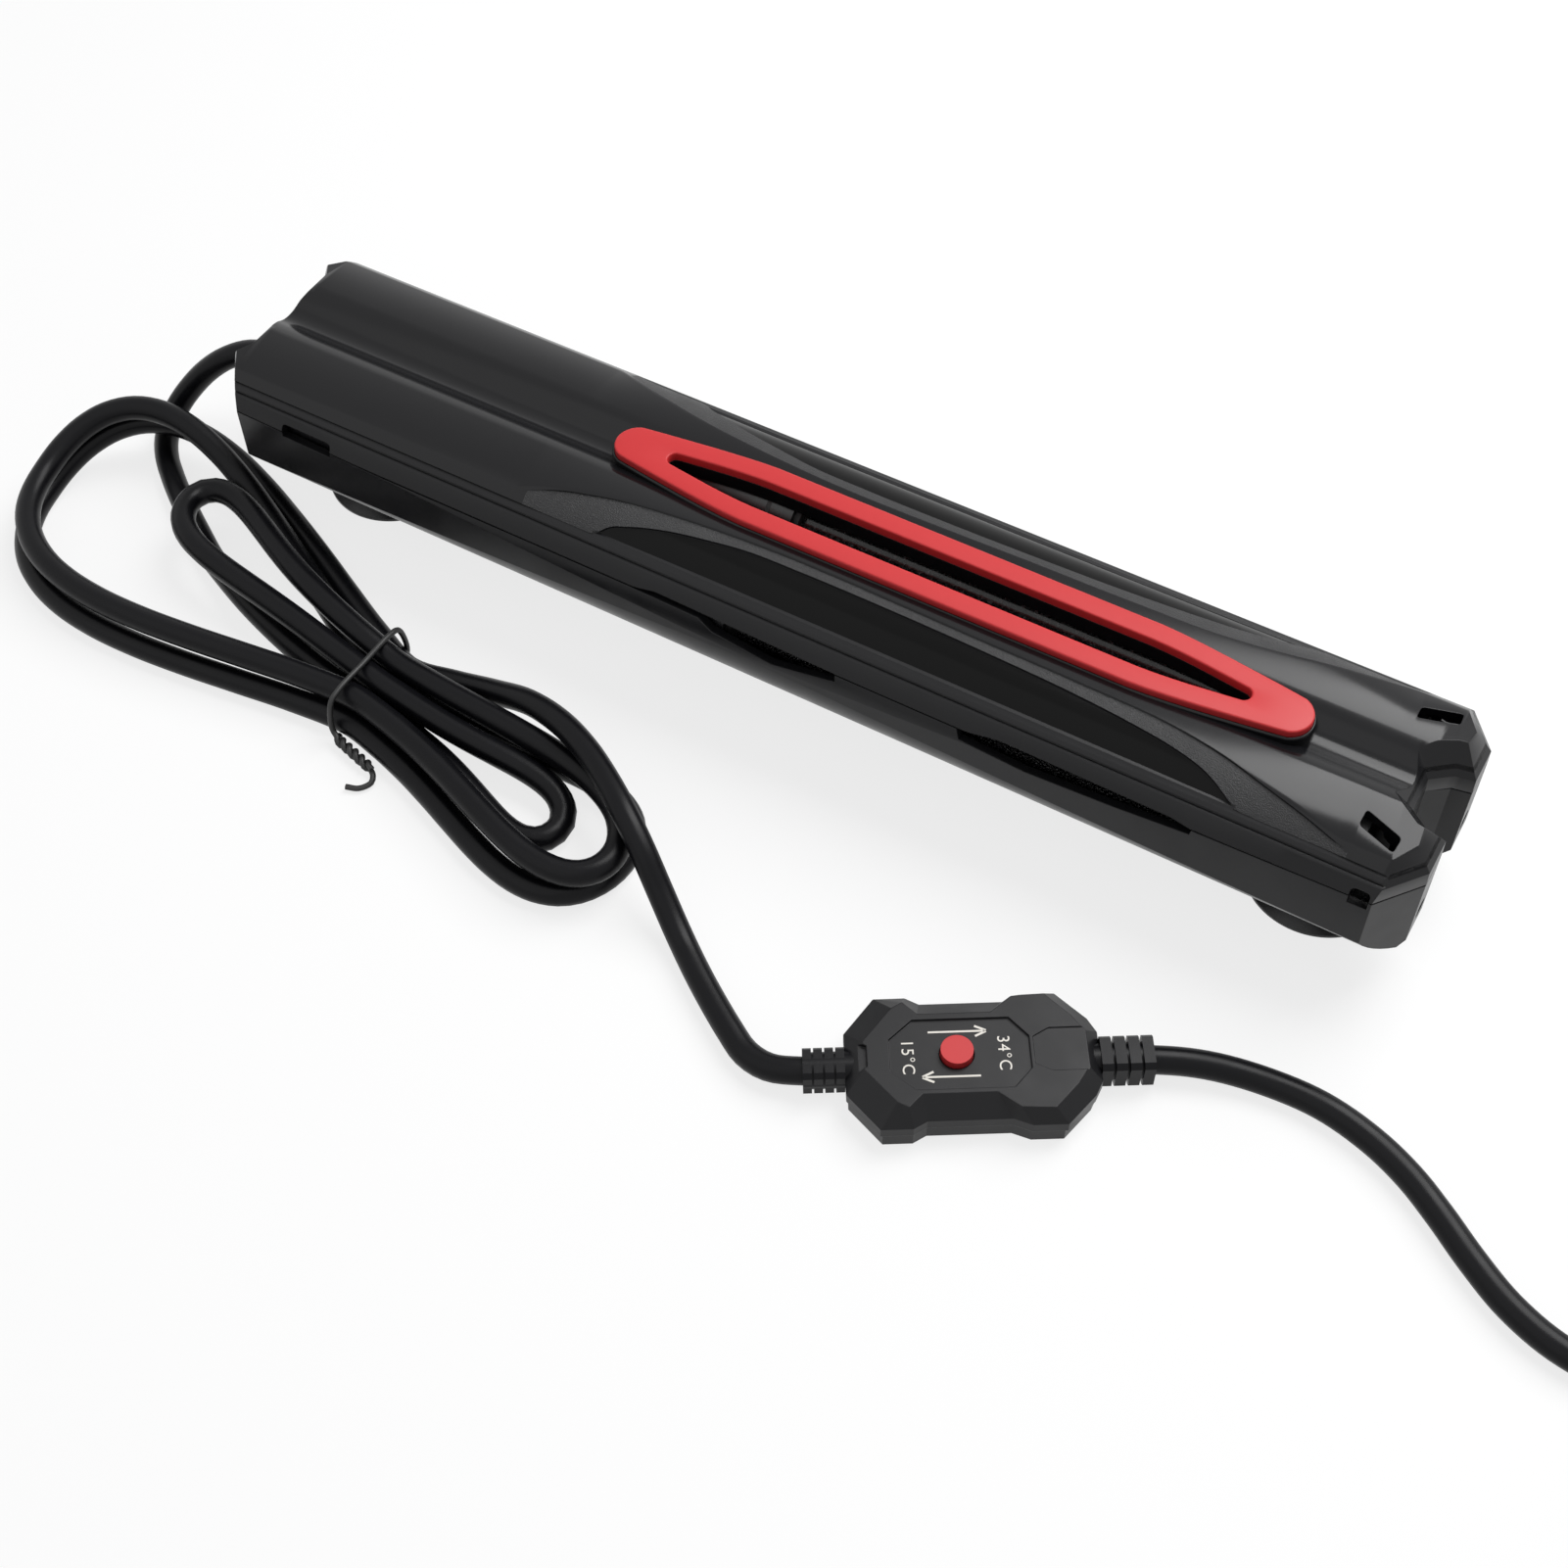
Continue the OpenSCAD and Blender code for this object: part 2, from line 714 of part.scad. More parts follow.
module controller_top() {
    color([0.12, 0.12, 0.13]) at_controller() difference() {
        union() {
            difference() {
                ctrl_upper(0);
                translate([0, 0, -sink]) ctrl_upper(ctrl_wall);
                linear_extrude(ctrl_base_h + sink) ctrl_outline(ctrl_wall);
            }
            intersection() {
                at_ctrl_screws() translate([0, 0, ctrl_base_h]) cylinder(h = ctrl_h, r = 2.4);
                ctrl_upper(0.5);
            }
        }
        translate([0, 0, panel_z]) linear_extrude(tall) ctrl_panel();
        relief_bores();
        translate([button_u, 0, 0]) cylinder(h = tall, r = button_r + button_gap);
        at_ctrl_screws() cylinder(h = slope_z - 0.6, r = 0.9);
    }
}

ctrl_board_z = ctrl_wall + 0.4;
switch_h = 2.2;
button_low = ctrl_board_z + board_t + switch_h + button_travel;

module controller_button() {
    color([0.85, 0.1, 0.1]) at_controller() translate([button_u, 0, 0]) {
        translate([0, 0, button_low]) cylinder(h = panel_z + button_proud - button_low, r = button_r);
        translate([0, 0, button_low]) cylinder(h = 1, r = button_r + 1.2);
    }
}

module button_switch() {
    color([0.6, 0.6, 0.62]) at_controller() translate([button_u - 3, -3, ctrl_board_z + board_t])
        cube([6, 6, switch_h]);
}

module controller_board() {
    color([0.05, 0.3, 0.12]) at_controller() difference() {
        translate([-ctrl_l / 2 + 9, -ctrl_w / 2 + 4, ctrl_board_z])
            cube([ctrl_l - 18, ctrl_w - 8, board_t]);
        at_ctrl_screws() cylinder(h = tall, r = 3);
    }
}

module controller_screws() {
    color([0.7, 0.7, 0.72]) at_controller() at_ctrl_screws() {
        translate([0, 0, 0.4]) cylinder(h = 1.2, r = 2);
        translate([0, 0, 1.6]) cylinder(h = slope_z - 2.6, r = 0.9);
    }
}

relief_ribs = 4;
relief_in_l = 9;
relief_out_l = 11.4;

// A ribbed strain relief: square ribs with rounded edges on a round sleeve.
module ribbed_relief(l, rib_w) {
    pitch = l / (relief_ribs - 0.2);
    difference() {
        union() {
            for (i = [0:relief_ribs - 1]) along_x(i * pitch, (i + 0.8) * pitch)
                translate([0, ctrl_cord_z]) intersection() {
                    square(rib_w, center = true);
                    circle(r = rib_w * 0.62);
                }
            rod_x(-2.5, l, 0, ctrl_cord_z, cord_d / 2 + 0.8);
        }
        rod_x(-4, l + 1, 0, ctrl_cord_z, cord_d / 2);
    }
}

module relief_in() {
    color([0.06, 0.06, 0.06]) at_controller() mirror([1, 0, 0])
        translate([ctrl_l / 2, 0, 0]) ribbed_relief(relief_in_l, 7.8);
}

module relief_out() {
    color([0.06, 0.06, 0.06]) at_controller()
        translate([ctrl_l / 2, 0, 0]) ribbed_relief(relief_out_l, 8.6);
}

// ---------- cords ----------

cord_r = cord_d / 2;

function unit(v) = v / norm(v);
function last(v) = v[len(v) - 1];

// Direction of a route at its point i.
function heading(p, i) = unit(p[min(i + 1, len(p) - 1)] - p[max(i - 1, 0)]);

// The ring of a tube round point i of a route that never runs straight up.
function ring_at(p, i, r, n) = let (t = heading(p, i), a = unit(cross(t, [0, 0, 1])), b = cross(a, t))
    [for (k = [0:n - 1]) p[i] + r * (sin(360 * k / n) * a + cos(360 * k / n) * b)];

// A tube of n sides along a route.
module tube(p, r, n) {
    m = len(p);
    polyhedron(points = [for (i = [0:m - 1]) each ring_at(p, i, r, n)],
        faces = concat(
            [for (k = [1:n - 2]) [0, k, k + 1]],
            [for (k = [1:n - 2]) [0, k + 1, k] + (m - 1) * n * [1, 1, 1]],
            [for (i = [0:m - 2], k = [0:n - 1]) let (a = i * n, k2 = (k + 1) % n) each
                [[a + k, a + n + k, a + k2], [a + k2, a + n + k, a + n + k2]]]));
}

// Places along the hank: u runs along its axis and v across it, from the tie.
hank_pos = [-84, -66];
hank_turn = -8.5;
function hank_point(u, v, z) = [hank_pos[0] + u * cos(hank_turn) - v * sin(hank_turn),
                                hank_pos[1] + u * sin(hank_turn) + v * cos(hank_turn), z];

// Heights of the cord on the floor, in the upper layer at the tie, and passing over a cord.
low = cord_r + 0.1;
high = low + cord_d - 0.25;
over = low + cord_d + 0.8;

// One half loop, from the tie at v = a out to the length reach and back to the tie at v = b.
// swell is how far it opens, shift how far its end lies off the axis, and full above 1 makes
// it open nearer its end. z gives the heights at the start, the end of the loop and the
// return, ramps the angles over which it changes height, and hump where it passes over the
// cord that comes from the guard.
function ease(t) = sin(90 * min(1, t));
function hump_at(a, hump) = hump[2] * pow(max(0, 1 - pow((a - hump[0]) / hump[1], 2)), 2);
function loop_z(a, z, ramps, hump) = hump_at(a, hump)
    + (a < 90 ? z[0] + (z[1] - z[0]) * ease(a / ramps[0])
       : ramps[1] > 0 ? z[2] + (z[1] - z[2]) * ease((180 - a) / ramps[1])
       : z[2] + (z[1] - z[2]) * (1 - cos(90 * min(1, (a - 180) / ramps[1]))));
function half_loop(reach, a, b, swell, shift, full, z, ramps, hump, step) =
    [for (i = [0:step:179.9]) hank_point(reach * sin(i),
        a + (b - a) * (1 - cos(i)) / 2 + swell * cos(i) * pow(sin(i), full) + shift * pow(sin(i), 2),
        loop_z(i, z, ramps, hump))];

flat = [0, 1, 0];
pass_over = [115, 38, 8.2];

// The hank's cord: three loops, each a half to the right of the tie and a half to its left.
function hank_loops(step) = concat(
    half_loop(61, -3.5, 0, -19, -2, 3, [low, low, high], [60, -80], flat, step),
    half_loop(-77, 0, 7, -20, 9, 3, [high, high + 4.2, high], [70, 26], flat, step),
    half_loop(80, 7, -7, 21, -6, 2, [high, over, high], [25, 30], flat, step),
    half_loop(-118, -7, 3.4, -50, 5.5, 1.3, [high, over, low], [30, 68], pass_over, step),
    half_loop(79, 3.4, -10.5, 31, 0, 2, [low, low, low], [30, 30], flat, step),
    half_loop(-119, -10.5, 10.6, -50, 3.5, 1.3, [low, low, low], [30, 30], pass_over, step));

// The cord's way into the hank and out of it, in the hank's own u and v.
hank_in = [[-67, 6.2, 0], [-59, 3.9, 0], [-44, 0.4, 0], [-22, -2.7, 0]];
hank_out = [[0, 10.6, 0], [12, 13.7, 1], [24, 15.6, 4.6], [36, 15.9, 9.4], [48, 14.2, 12.5],
            [59, 11, 14], [69, 6.9, 14.5], [78, 2.6, 14.4], [86, -1, 11.4], [94, -4.4, 5.4],
            [103, -8.6, 0.8], [114, -14.2, 0]];
function from_hank(points) = [for (p = points) hank_point(p[0], p[1], low + p[2])];

loop_step = 15;
hank_route = concat(from_hank(hank_in), hank_loops(loop_step), from_hank(hank_out));

// The coil: it winds in on the floor, climbs to the upper layer in half a turn, and winds out.
coil_pos = [288, -118];
coil_r = 41;
coil_pitch = 7.2;
coil_turns = 1.75;
coil_layer = low + cord_d + 0.45;
function coil_climb(t) = min(1, max(0, 2 * (t - coil_turns)));
function coil_radius(t) = coil_r - 2 * sin(180 * coil_climb(t))
    - coil_pitch * (t < coil_turns ? t : t < coil_turns + 0.5 ? coil_turns : 2 * coil_turns + 0.5 - t);
function coil_height(t) = low + (coil_layer - low) * coil_climb(t);
function coil_point(t) = [coil_pos[0] + coil_radius(t) * sin(360 * t),
                          coil_pos[1] + coil_radius(t) * cos(360 * t), coil_height(t)];
function coil_loops(n) = [for (i = [0:n * (2 * coil_turns + 0.5)]) coil_point(i / n)];
coil_route = concat([[281, -77, low]], coil_loops(24), [[295, -77, coil_layer]]);

// The other routes, from the guard to the hank, from the hank to the controller, from the
// controller to the coil, and from the coil to the plug.
heater_route = [[-140, 0, 26], [-152, 0, 26], [-163.5, 0, 26], [-169.8, -1.2, 25.2],
    [-175.8, -3.8, 22.6], [-180.9, -6.8, 18.6], [-184.8, -10, 14], [-187.3, -13.8, 9.7],
    [-188, -18, 6.2], [-186.4, -22.8, 4], [-182.2, -27.8, 3.4], [-176.6, -32.4, low],
    [-170.5, -36.8, low], [-163.8, -41.2, low], [-157, -45.4, low], hank_point(-67, 6.2, low)];
tip_in = at_yaw(-ctrl_l / 2 - relief_in_l);
tip_out = at_yaw(ctrl_l / 2 + relief_out_l);
function at_yaw(u) = [ctrl_pos[0] + u * cos(ctrl_yaw), ctrl_pos[1] + u * sin(ctrl_yaw), ctrl_cord_z];
controller_route = [hank_point(114, -14.2, low), [38.6, -104.6, low], [44.4, -107.7, low + 0.1],
    [50.6, -108.6, low + 0.8], tip_in, at_yaw(-ctrl_l / 2 + 4)];
mains_route = [at_yaw(ctrl_l / 2 - 4), tip_out, [131.5, -61.7, 4.3], [143.6, -58.5, low],
    [156.5, -58, low], [168.6, -60.5, low], [178.5, -64.6, low], [187, -69.8, low],
    [196, -76, low], [206, -81.8, low], [217, -85.4, low], [229, -86, low], [242, -84, low],
    [255, -80.5, low], [266, -78, low], [274, -77, low], [281, -77, low]];
tail_route = [[295, -77, coil_layer], [302, -77, coil_layer], [315, -77.5, 11.5], [329, -79, 13.2],
    [342, -85, 15.6], [350.5, -95, 17.8], [354, -107, plug_r], [354, -116, plug_r]];

// The least gap between the turns of a route, between points further apart along it than far.
function lengths(p) = [for (i = 0, d = 0; i < len(p); i = i + 1,
    d = i < len(p) ? d + norm(p[i] - p[i - 1]) : d) d];
function least_gap(p, far) = let (l = lengths(p)) min([for (i = [0:len(p) - 1],
    j = [i + 1:len(p) - 1]) if (l[j] - l[i] > far) norm(p[i] - p[j])]) - cord_d;
measure_step = 3;
union() {
    echo(hank_gap = least_gap(hank_loops(measure_step), 5 * cord_d));
    echo(coil_gap = least_gap(coil_loops(120), 5 * cord_d));
    echo(heater_cord_length = last(lengths(heater_route)) + last(lengths(hank_route))
         + last(lengths(controller_route)));
    echo(mains_cord_length = last(lengths(mains_route)) + last(lengths(coil_route))
         + last(lengths(tail_route)));
}
cord_black = [0.05, 0.05, 0.055];

module heater_cord() { color(cord_black) tube(heater_route, cord_r, 8); }
module cord_hank() { color(cord_black) tube(hank_route, cord_r, 6); }
module controller_cord() { color(cord_black) tube(controller_route, cord_r, 8); }
module mains_cord() { color(cord_black) tube(mains_route, cord_r, 8); }
module mains_coil() { color(cord_black) tube(coil_route, cord_r, 6); }
module mains_tail() { color(cord_black) tube(tail_route, cord_r, 8); }

// The wire round the hank's waist: a flat loop with rounded ends, and its twisted tail.
tie_w = 2 * (10.5 + cord_r) + 0.6;
tie_h = high + cord_r + 0.25;

module twist_tie() {
    color([0.04, 0.04, 0.04]) translate(hank_point(0, 0, 0)) rotate([0, 0, hank_turn]) {
        difference() {
            along_x(-tie_wire / 2, tie_wire / 2) translate([-tie_w / 2 - tie_wire, 0])
                square([tie_w + 2 * tie_wire, tie_h + tie_wire]);
            along_x(-tie_wire, tie_wire) polygon([[-tie_w / 2, -1], [-tie_w / 2, 4.5],
                [-tie_w / 2 + 4, tie_h], [tie_w / 2 - 4, tie_h], [tie_w / 2, 4.5], [tie_w / 2, -1]]);
        }
        translate([0, -tie_w / 2 - tie_wire, tie_wire]) rotate([90, 0, 40])
            cylinder(h = 13, r = tie_wire * 0.7);
    }
}

// A strap round the coil's cord on the side towards the plug.
strap_x0 = coil_pos[0] + coil_r - 16.2;
strap_x1 = coil_pos[0] + coil_r + 1.7;
strap_w = 6;
strap_t = 1.1;
strap_h = coil_layer + cord_r + 0.25;

module coil_tie() {
    color([0.04, 0.04, 0.04]) translate([0, coil_pos[1] - strap_w / 2, 0]) difference() {
        translate([strap_x0 - strap_t, 0, 0])
            cube([strap_x1 - strap_x0 + 2 * strap_t, strap_w, strap_h + strap_t]);
        translate([strap_x0, -1, -1]) cube([strap_x1 - strap_x0, strap_w + 2, strap_h + 1]);
    }
}

// ---------- plug ----------

plug_relief_l = 24;

module at_plug() {
    translate(last(tail_route) + [0, 9, 0]) rotate([90, 0, 0]) children();
}

module plug_relief() {
    color([0.06, 0.06, 0.06]) at_plug() difference() {
        cylinder(h = plug_relief_l, r1 = cord_r + 0.9, r2 = cord_r + 3.6);
        translate([0, 0, -1]) cylinder(h = 10, r = cord_r);
    }
}

module plug_body() {
    color([0.06, 0.06, 0.06]) at_plug() translate([0, 0, plug_relief_l]) rotate_extrude()
        polygon([[0, 0], [8.5, 0], [12.5, 3], [14, 12], [15, plug_l - 15], [plug_r, plug_l - 11],
                 [plug_r, plug_l], [0, plug_l]]);
}

module plug_pins() {
    color([0.75, 0.75, 0.72]) at_plug() for (s = [-1, 1])
        translate([s * pin_gap / 2, 0, plug_relief_l + plug_l]) {
            cylinder(h = pin_l - 1, r = pin_r);
            translate([0, 0, pin_l - 1]) cylinder(h = 1, r1 = pin_r, r2 = pin_r - 0.8);
        }
}

top_cover();
middle_band_front();
middle_band_rear();
lower_shell();
accent_ring();
control_head();
head_end_plate();
head_seal();
circuit_board();
display_module();
relay();
capacitor();
thermal_fuse();
temperature_probe();
quartz_tube_front();
quartz_tube_rear();
granule_fill_front();
granule_fill_rear();
ceramic_core_front();
ceramic_core_rear();
heating_winding_front();
heating_winding_rear();
tube_seal_front();
tube_seal_rear();
tube_bumper_front();
tube_bumper_rear();
power_leads();
cable_gland();
guard_screws();
suction_cup_left();
suction_cup_right();
controller_base();
controller_top();
controller_button();
button_switch();
controller_board();
controller_screws();
relief_in();
relief_out();
heater_cord();
cord_hank();
controller_cord();
twist_tie();
mains_cord();
mains_coil();
coil_tie();
mains_tail();
plug_relief();
plug_body();
plug_pins();
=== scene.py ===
"""Submersible aquarium heater: a glossy twin-lobed guard with a red ring, an in-line
temperature controller, a tied hank of cord, and a coil of cord that ends in a mains plug.

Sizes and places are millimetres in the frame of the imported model: +X runs along the guard
from the cord end to the free end, +Z is up, and the suction cups' rims stand on Z = 0.
Blender's own unit is the metre, so points are multiplied by MM where a mesh or curve is made.
"""

import json
import math

import bmesh
import bpy
import numpy as np
from mathutils import Matrix, Vector


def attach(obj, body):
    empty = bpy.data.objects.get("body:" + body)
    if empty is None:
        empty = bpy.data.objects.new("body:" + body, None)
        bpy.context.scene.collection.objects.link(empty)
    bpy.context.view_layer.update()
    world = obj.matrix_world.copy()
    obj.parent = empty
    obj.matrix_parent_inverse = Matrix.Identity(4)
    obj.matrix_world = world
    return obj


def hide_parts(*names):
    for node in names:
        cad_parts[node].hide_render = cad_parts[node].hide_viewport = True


MM = 0.001

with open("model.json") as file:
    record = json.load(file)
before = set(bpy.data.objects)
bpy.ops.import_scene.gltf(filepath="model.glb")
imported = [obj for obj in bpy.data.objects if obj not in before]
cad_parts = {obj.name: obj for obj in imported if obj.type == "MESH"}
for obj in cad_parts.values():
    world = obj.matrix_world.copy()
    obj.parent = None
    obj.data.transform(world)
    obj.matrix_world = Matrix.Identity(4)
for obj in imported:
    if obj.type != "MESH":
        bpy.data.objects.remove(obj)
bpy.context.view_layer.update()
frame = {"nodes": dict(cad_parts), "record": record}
NODES = frame["nodes"]

# ---------------------------------------------------------------- sizes shared with the frame

BODY_L = 315.0
HALF_L = BODY_L / 2
BODY_FLOOR = 12.5
LOBE_R = 17.5
LOBE_Y = 13.5
LOBE_Z = BODY_FLOOR + LOBE_R
BODY_TOP = LOBE_Z + LOBE_R
SIDE_BOW = 2.4
BODY_W = 2 * (LOBE_Y + LOBE_R)
PARTING_Z = BODY_FLOOR + 23.5
NOTCH_DEPTH = 9.0

RING_X, RING_L, RING_W, RING_TAPER = 34.2, 176.6, 19.0, 34.0
SLOT_L, SLOT_W = 148.0, 8.6
SEAT_TOP = BODY_TOP + 0.3
RING_TOP = SEAT_TOP + 1.3
RING_BOTTOM = RING_TOP - 2.3

CORD_D = 6.3
CORD_R = CORD_D / 2
# The heights of a cord's centre on the floor, upon other turns, and clear over a turn.
LOW = CORD_R + 0.1
HIGH = LOW + CORD_D - 0.25
OVER = LOW + CORD_D + 0.8

CTRL_POS = (88.4, -87.1)
CTRL_YAW = 32.0
CTRL_L, CTRL_H, CTRL_BASE_H = 54.4, 10.8, 3.8
CTRL_CORD_Z = CORD_R + 1.85
RELIEF_IN_L, RELIEF_OUT_L = 9.0, 11.4
BUTTON_U, BUTTON_R = -3.5, 3.5
PANEL_Z = CTRL_H - 0.6


# ---------------------------------------------------------------- camera and light


def add_camera():
    """The camera: its place, its aim, and its focal length in pixels of the frame."""
    azimuth, elevation, roll = (math.radians(a) for a in (31.28, 52.63, -1.22))
    place = Vector((182.7, -317.1, 426.9)) * MM
    focal_px, frame_px, sensor = 2316.6, 1601, 36.0
    back = Vector(
        (
            math.sin(azimuth) * math.cos(elevation),
            -math.cos(azimuth) * math.cos(elevation),
            math.sin(elevation),
        )
    )
    right = Vector((math.cos(azimuth), math.sin(azimuth), 0))
    up = back.cross(right)
    across = math.cos(roll) * right + math.sin(roll) * up
    upward = -math.sin(roll) * right + math.cos(roll) * up
    data = bpy.data.cameras.new("camera")
    data.sensor_width = sensor
    data.lens = focal_px / frame_px * sensor
    data.clip_start, data.clip_end = 0.01, 10
    camera = bpy.data.objects.new("camera", data)
    camera.matrix_world = Matrix.Translation(place) @ Matrix(
        (across, upward, back)
    ).transposed().to_4x4()
    bpy.context.scene.collection.objects.link(camera)
    bpy.context.scene.camera = camera


# The strength of the surround as a lamp, the floor's size and its gap below Z = 0 in metres,
# and how much of the floor's look is plain white, not lit paper.
ROOM_LIGHT = 0.24
FLOOR_SIZE, FLOOR_GAP = 6, 0.0001
FLOOR_WHITE = 0.78


def add_softbox(name, place, aim, size, power):
    """A rectangular softbox; place, aim and size are in metres and power in watts."""
    light = bpy.data.lights.new(name, "AREA")
    light.shape = "RECTANGLE"
    light.size, light.size_y = size
    light.energy = power
    box = bpy.data.objects.new(name, light)
    box.location = place
    box.rotation_euler = (Vector(aim) - Vector(place)).to_track_quat("-Z", "Y").to_euler()
    bpy.context.scene.collection.objects.link(box)


def add_studio():
    """A pale floor, a white surround for the camera, and two softboxes."""
    scene = bpy.context.scene
    scene.view_settings.view_transform = "Standard"
    world = bpy.data.worlds.new("studio")
    world.use_nodes = True
    tree = world.node_tree
    tree.nodes.clear()
    output = tree.nodes.new("ShaderNodeOutputWorld")
    seen = seen_directly(tree)
    dim = tree.nodes.new("ShaderNodeBackground")
    white = tree.nodes.new("ShaderNodeBackground")
    choose = tree.nodes.new("ShaderNodeMixShader")
    for shader, colour, strength in (
        (dim, (0.97, 0.98, 1, 1), ROOM_LIGHT),
        (white, (1, 1, 1, 1), 1),
    ):
        shader.inputs["Color"].default_value = colour
        shader.inputs["Strength"].default_value = strength
    tree.links.new(seen, choose.inputs["Fac"])
    tree.links.new(dim.outputs[0], choose.inputs[1])
    tree.links.new(white.outputs[0], choose.inputs[2])
    tree.links.new(choose.outputs[0], output.inputs["Surface"])
    scene.world = world

    bpy.ops.mesh.primitive_plane_add(size=FLOOR_SIZE, location=(0, 0, -FLOOR_GAP))
    floor = bpy.context.object
    floor.name = "floor"
    floor.data.materials.append(floor_material())

    add_softbox("overhead", (0.24, 0.5, 0.88), (0.12, 0, 0.04), (0.6, 0.85), 12)
    add_softbox("fill", (-0.4, -1.0, 1.3), (0, 0, 0), (1.8, 1.8), 3.6)


def seen_directly(tree):
    """A factor that is 1 for camera, glossy and transmitted rays."""
    path = tree.nodes.new("ShaderNodeLightPath")
    factor = path.outputs["Is Camera Ray"]
    for kind in ("Is Glossy Ray", "Is Transmission Ray"):
        more = tree.nodes.new("ShaderNodeMath")
        more.operation = "MAXIMUM"
        tree.links.new(factor, more.inputs[0])
        tree.links.new(path.outputs[kind], more.inputs[1])
        factor = more.outputs[0]
    return factor


def floor_material():
    """White paper that keeps the object's shadow and shows as white elsewhere."""
    paint = Paint("floor", (0.95, 0.95, 0.95), 0.9)
    tree = paint.tree
    glow = paint.node("ShaderNodeEmission", Strength=1)
    share = paint.node("ShaderNodeMath", [(0, seen_directly(tree))], operation="MULTIPLY")
    share.inputs[1].default_value = FLOOR_WHITE
    both = tree.nodes.new("ShaderNodeMixShader")
    tree.links.new(share.outputs[0], both.inputs["Fac"])
    tree.links.new(paint.shader.outputs[0], both.inputs[1])
    tree.links.new(glow.outputs[0], both.inputs[2])
    tree.links.new(both.outputs[0], tree.nodes["Material Output"].inputs["Surface"])
    return paint.material


# ---------------------------------------------------------------- materials


class Paint:
    """A procedural material that is built from one Principled shader."""

    def __init__(self, name, colour, roughness, **sockets):
        self.material = bpy.data.materials.new(name)
        self.material.use_nodes = True
        self.tree = self.material.node_tree
        self.shader = self.tree.nodes["Principled BSDF"]
        self.shader.inputs["Base Color"].default_value = (*colour, 1)
        self.shader.inputs["Roughness"].default_value = roughness
        for socket, value in sockets.items():
            self.shader.inputs[socket.replace("_", " ")].default_value = value

    def node(self, kind, links=(), **settings):
        """Adds a node; links are (its input, another node's output)."""
        made = self.tree.nodes.new(kind)
        for key, value in settings.items():
            if hasattr(made, key):
                setattr(made, key, value)
            else:
                made.inputs[key.replace("_", " ")].default_value = value
        for socket, source in links:
            self.tree.links.new(source, made.inputs[socket])
        return made

    def noise(self, scale, detail=2.0):
        """Noise in the frame's own coordinates, with scale counted per metre."""
        place = [("Vector", self.node("ShaderNodeTexCoord").outputs["Object"])]
        return self.node("ShaderNodeTexNoise", place, Scale=scale, Detail=detail).outputs["Fac"]

    def ramp(self, source, low, high, start=0.35, end=0.65):
        """Maps a value between start and end to the range from low to high."""
        made = self.node("ShaderNodeMapRange", [("Value", source)])
        limits = {"From Min": start, "From Max": end, "To Min": low, "To Max": high}
        for socket, value in limits.items():
            made.inputs[socket].default_value = value
        return made.outputs["Result"]

    def rough(self, source, low, high, start=0.35, end=0.65):
        """Varies the roughness between low and high."""
        varied = self.ramp(source, low, high, start, end)
        self.tree.links.new(varied, self.shader.inputs["Roughness"])

    def tint(self, source, first, second, start=0.35, end=0.65):
        """Varies the colour between first and second."""
        mix = self.node("ShaderNodeMix", data_type="RGBA")
        self.tree.links.new(self.ramp(source, 0, 1, start, end), mix.inputs["Factor"])
        mix.inputs["A"].default_value = (*first, 1)
        mix.inputs["B"].default_value = (*second, 1)
        self.tree.links.new(mix.outputs["Result"], self.shader.inputs["Base Color"])

    def bump(self, source, depth, edge=0.0):
        """Bump of a depth in millimetres; edge rounds sharp edges by that radius."""
        made = self.node("ShaderNodeBump", [("Height", source)])
        made.inputs["Distance"].default_value = depth * MM
        if edge:
            self.tree.links.new(self.round_edges(edge), made.inputs["Normal"])
        self.tree.links.new(made.outputs["Normal"], self.shader.inputs["Normal"])

    def round_edges(self, radius):
        """Normals that look as if edges were rounded by a radius in millimetres."""
        made = self.node("ShaderNodeBevel", samples=6)
        made.inputs["Radius"].default_value = radius * MM
        return made.outputs["Normal"]


def moulded(name, colour, roughness, grain=0.02, scale=5000, edge=0.25, vary=0.1, shine=0.5,
            metal=0):  # fmt: skip
    """Moulded plastic, rubber, ceramic or metal.

    grain is the depth of its texture in millimetres and scale the texture's scale per metre,
    edge the radius of its edges, vary how uneven its gloss is, and shine how much it reflects.
    """
    paint = Paint(name, colour, roughness, Specular_IOR_Level=shine, Metallic=metal)
    paint.rough(paint.noise(GLOSS_SCALE), roughness * (1 - vary), roughness * (1 + vary))
    paint.bump(paint.noise(scale, 3), grain, edge)
    return paint.material


# How finely the gloss of a moulding varies, per metre.
GLOSS_SCALE = 120

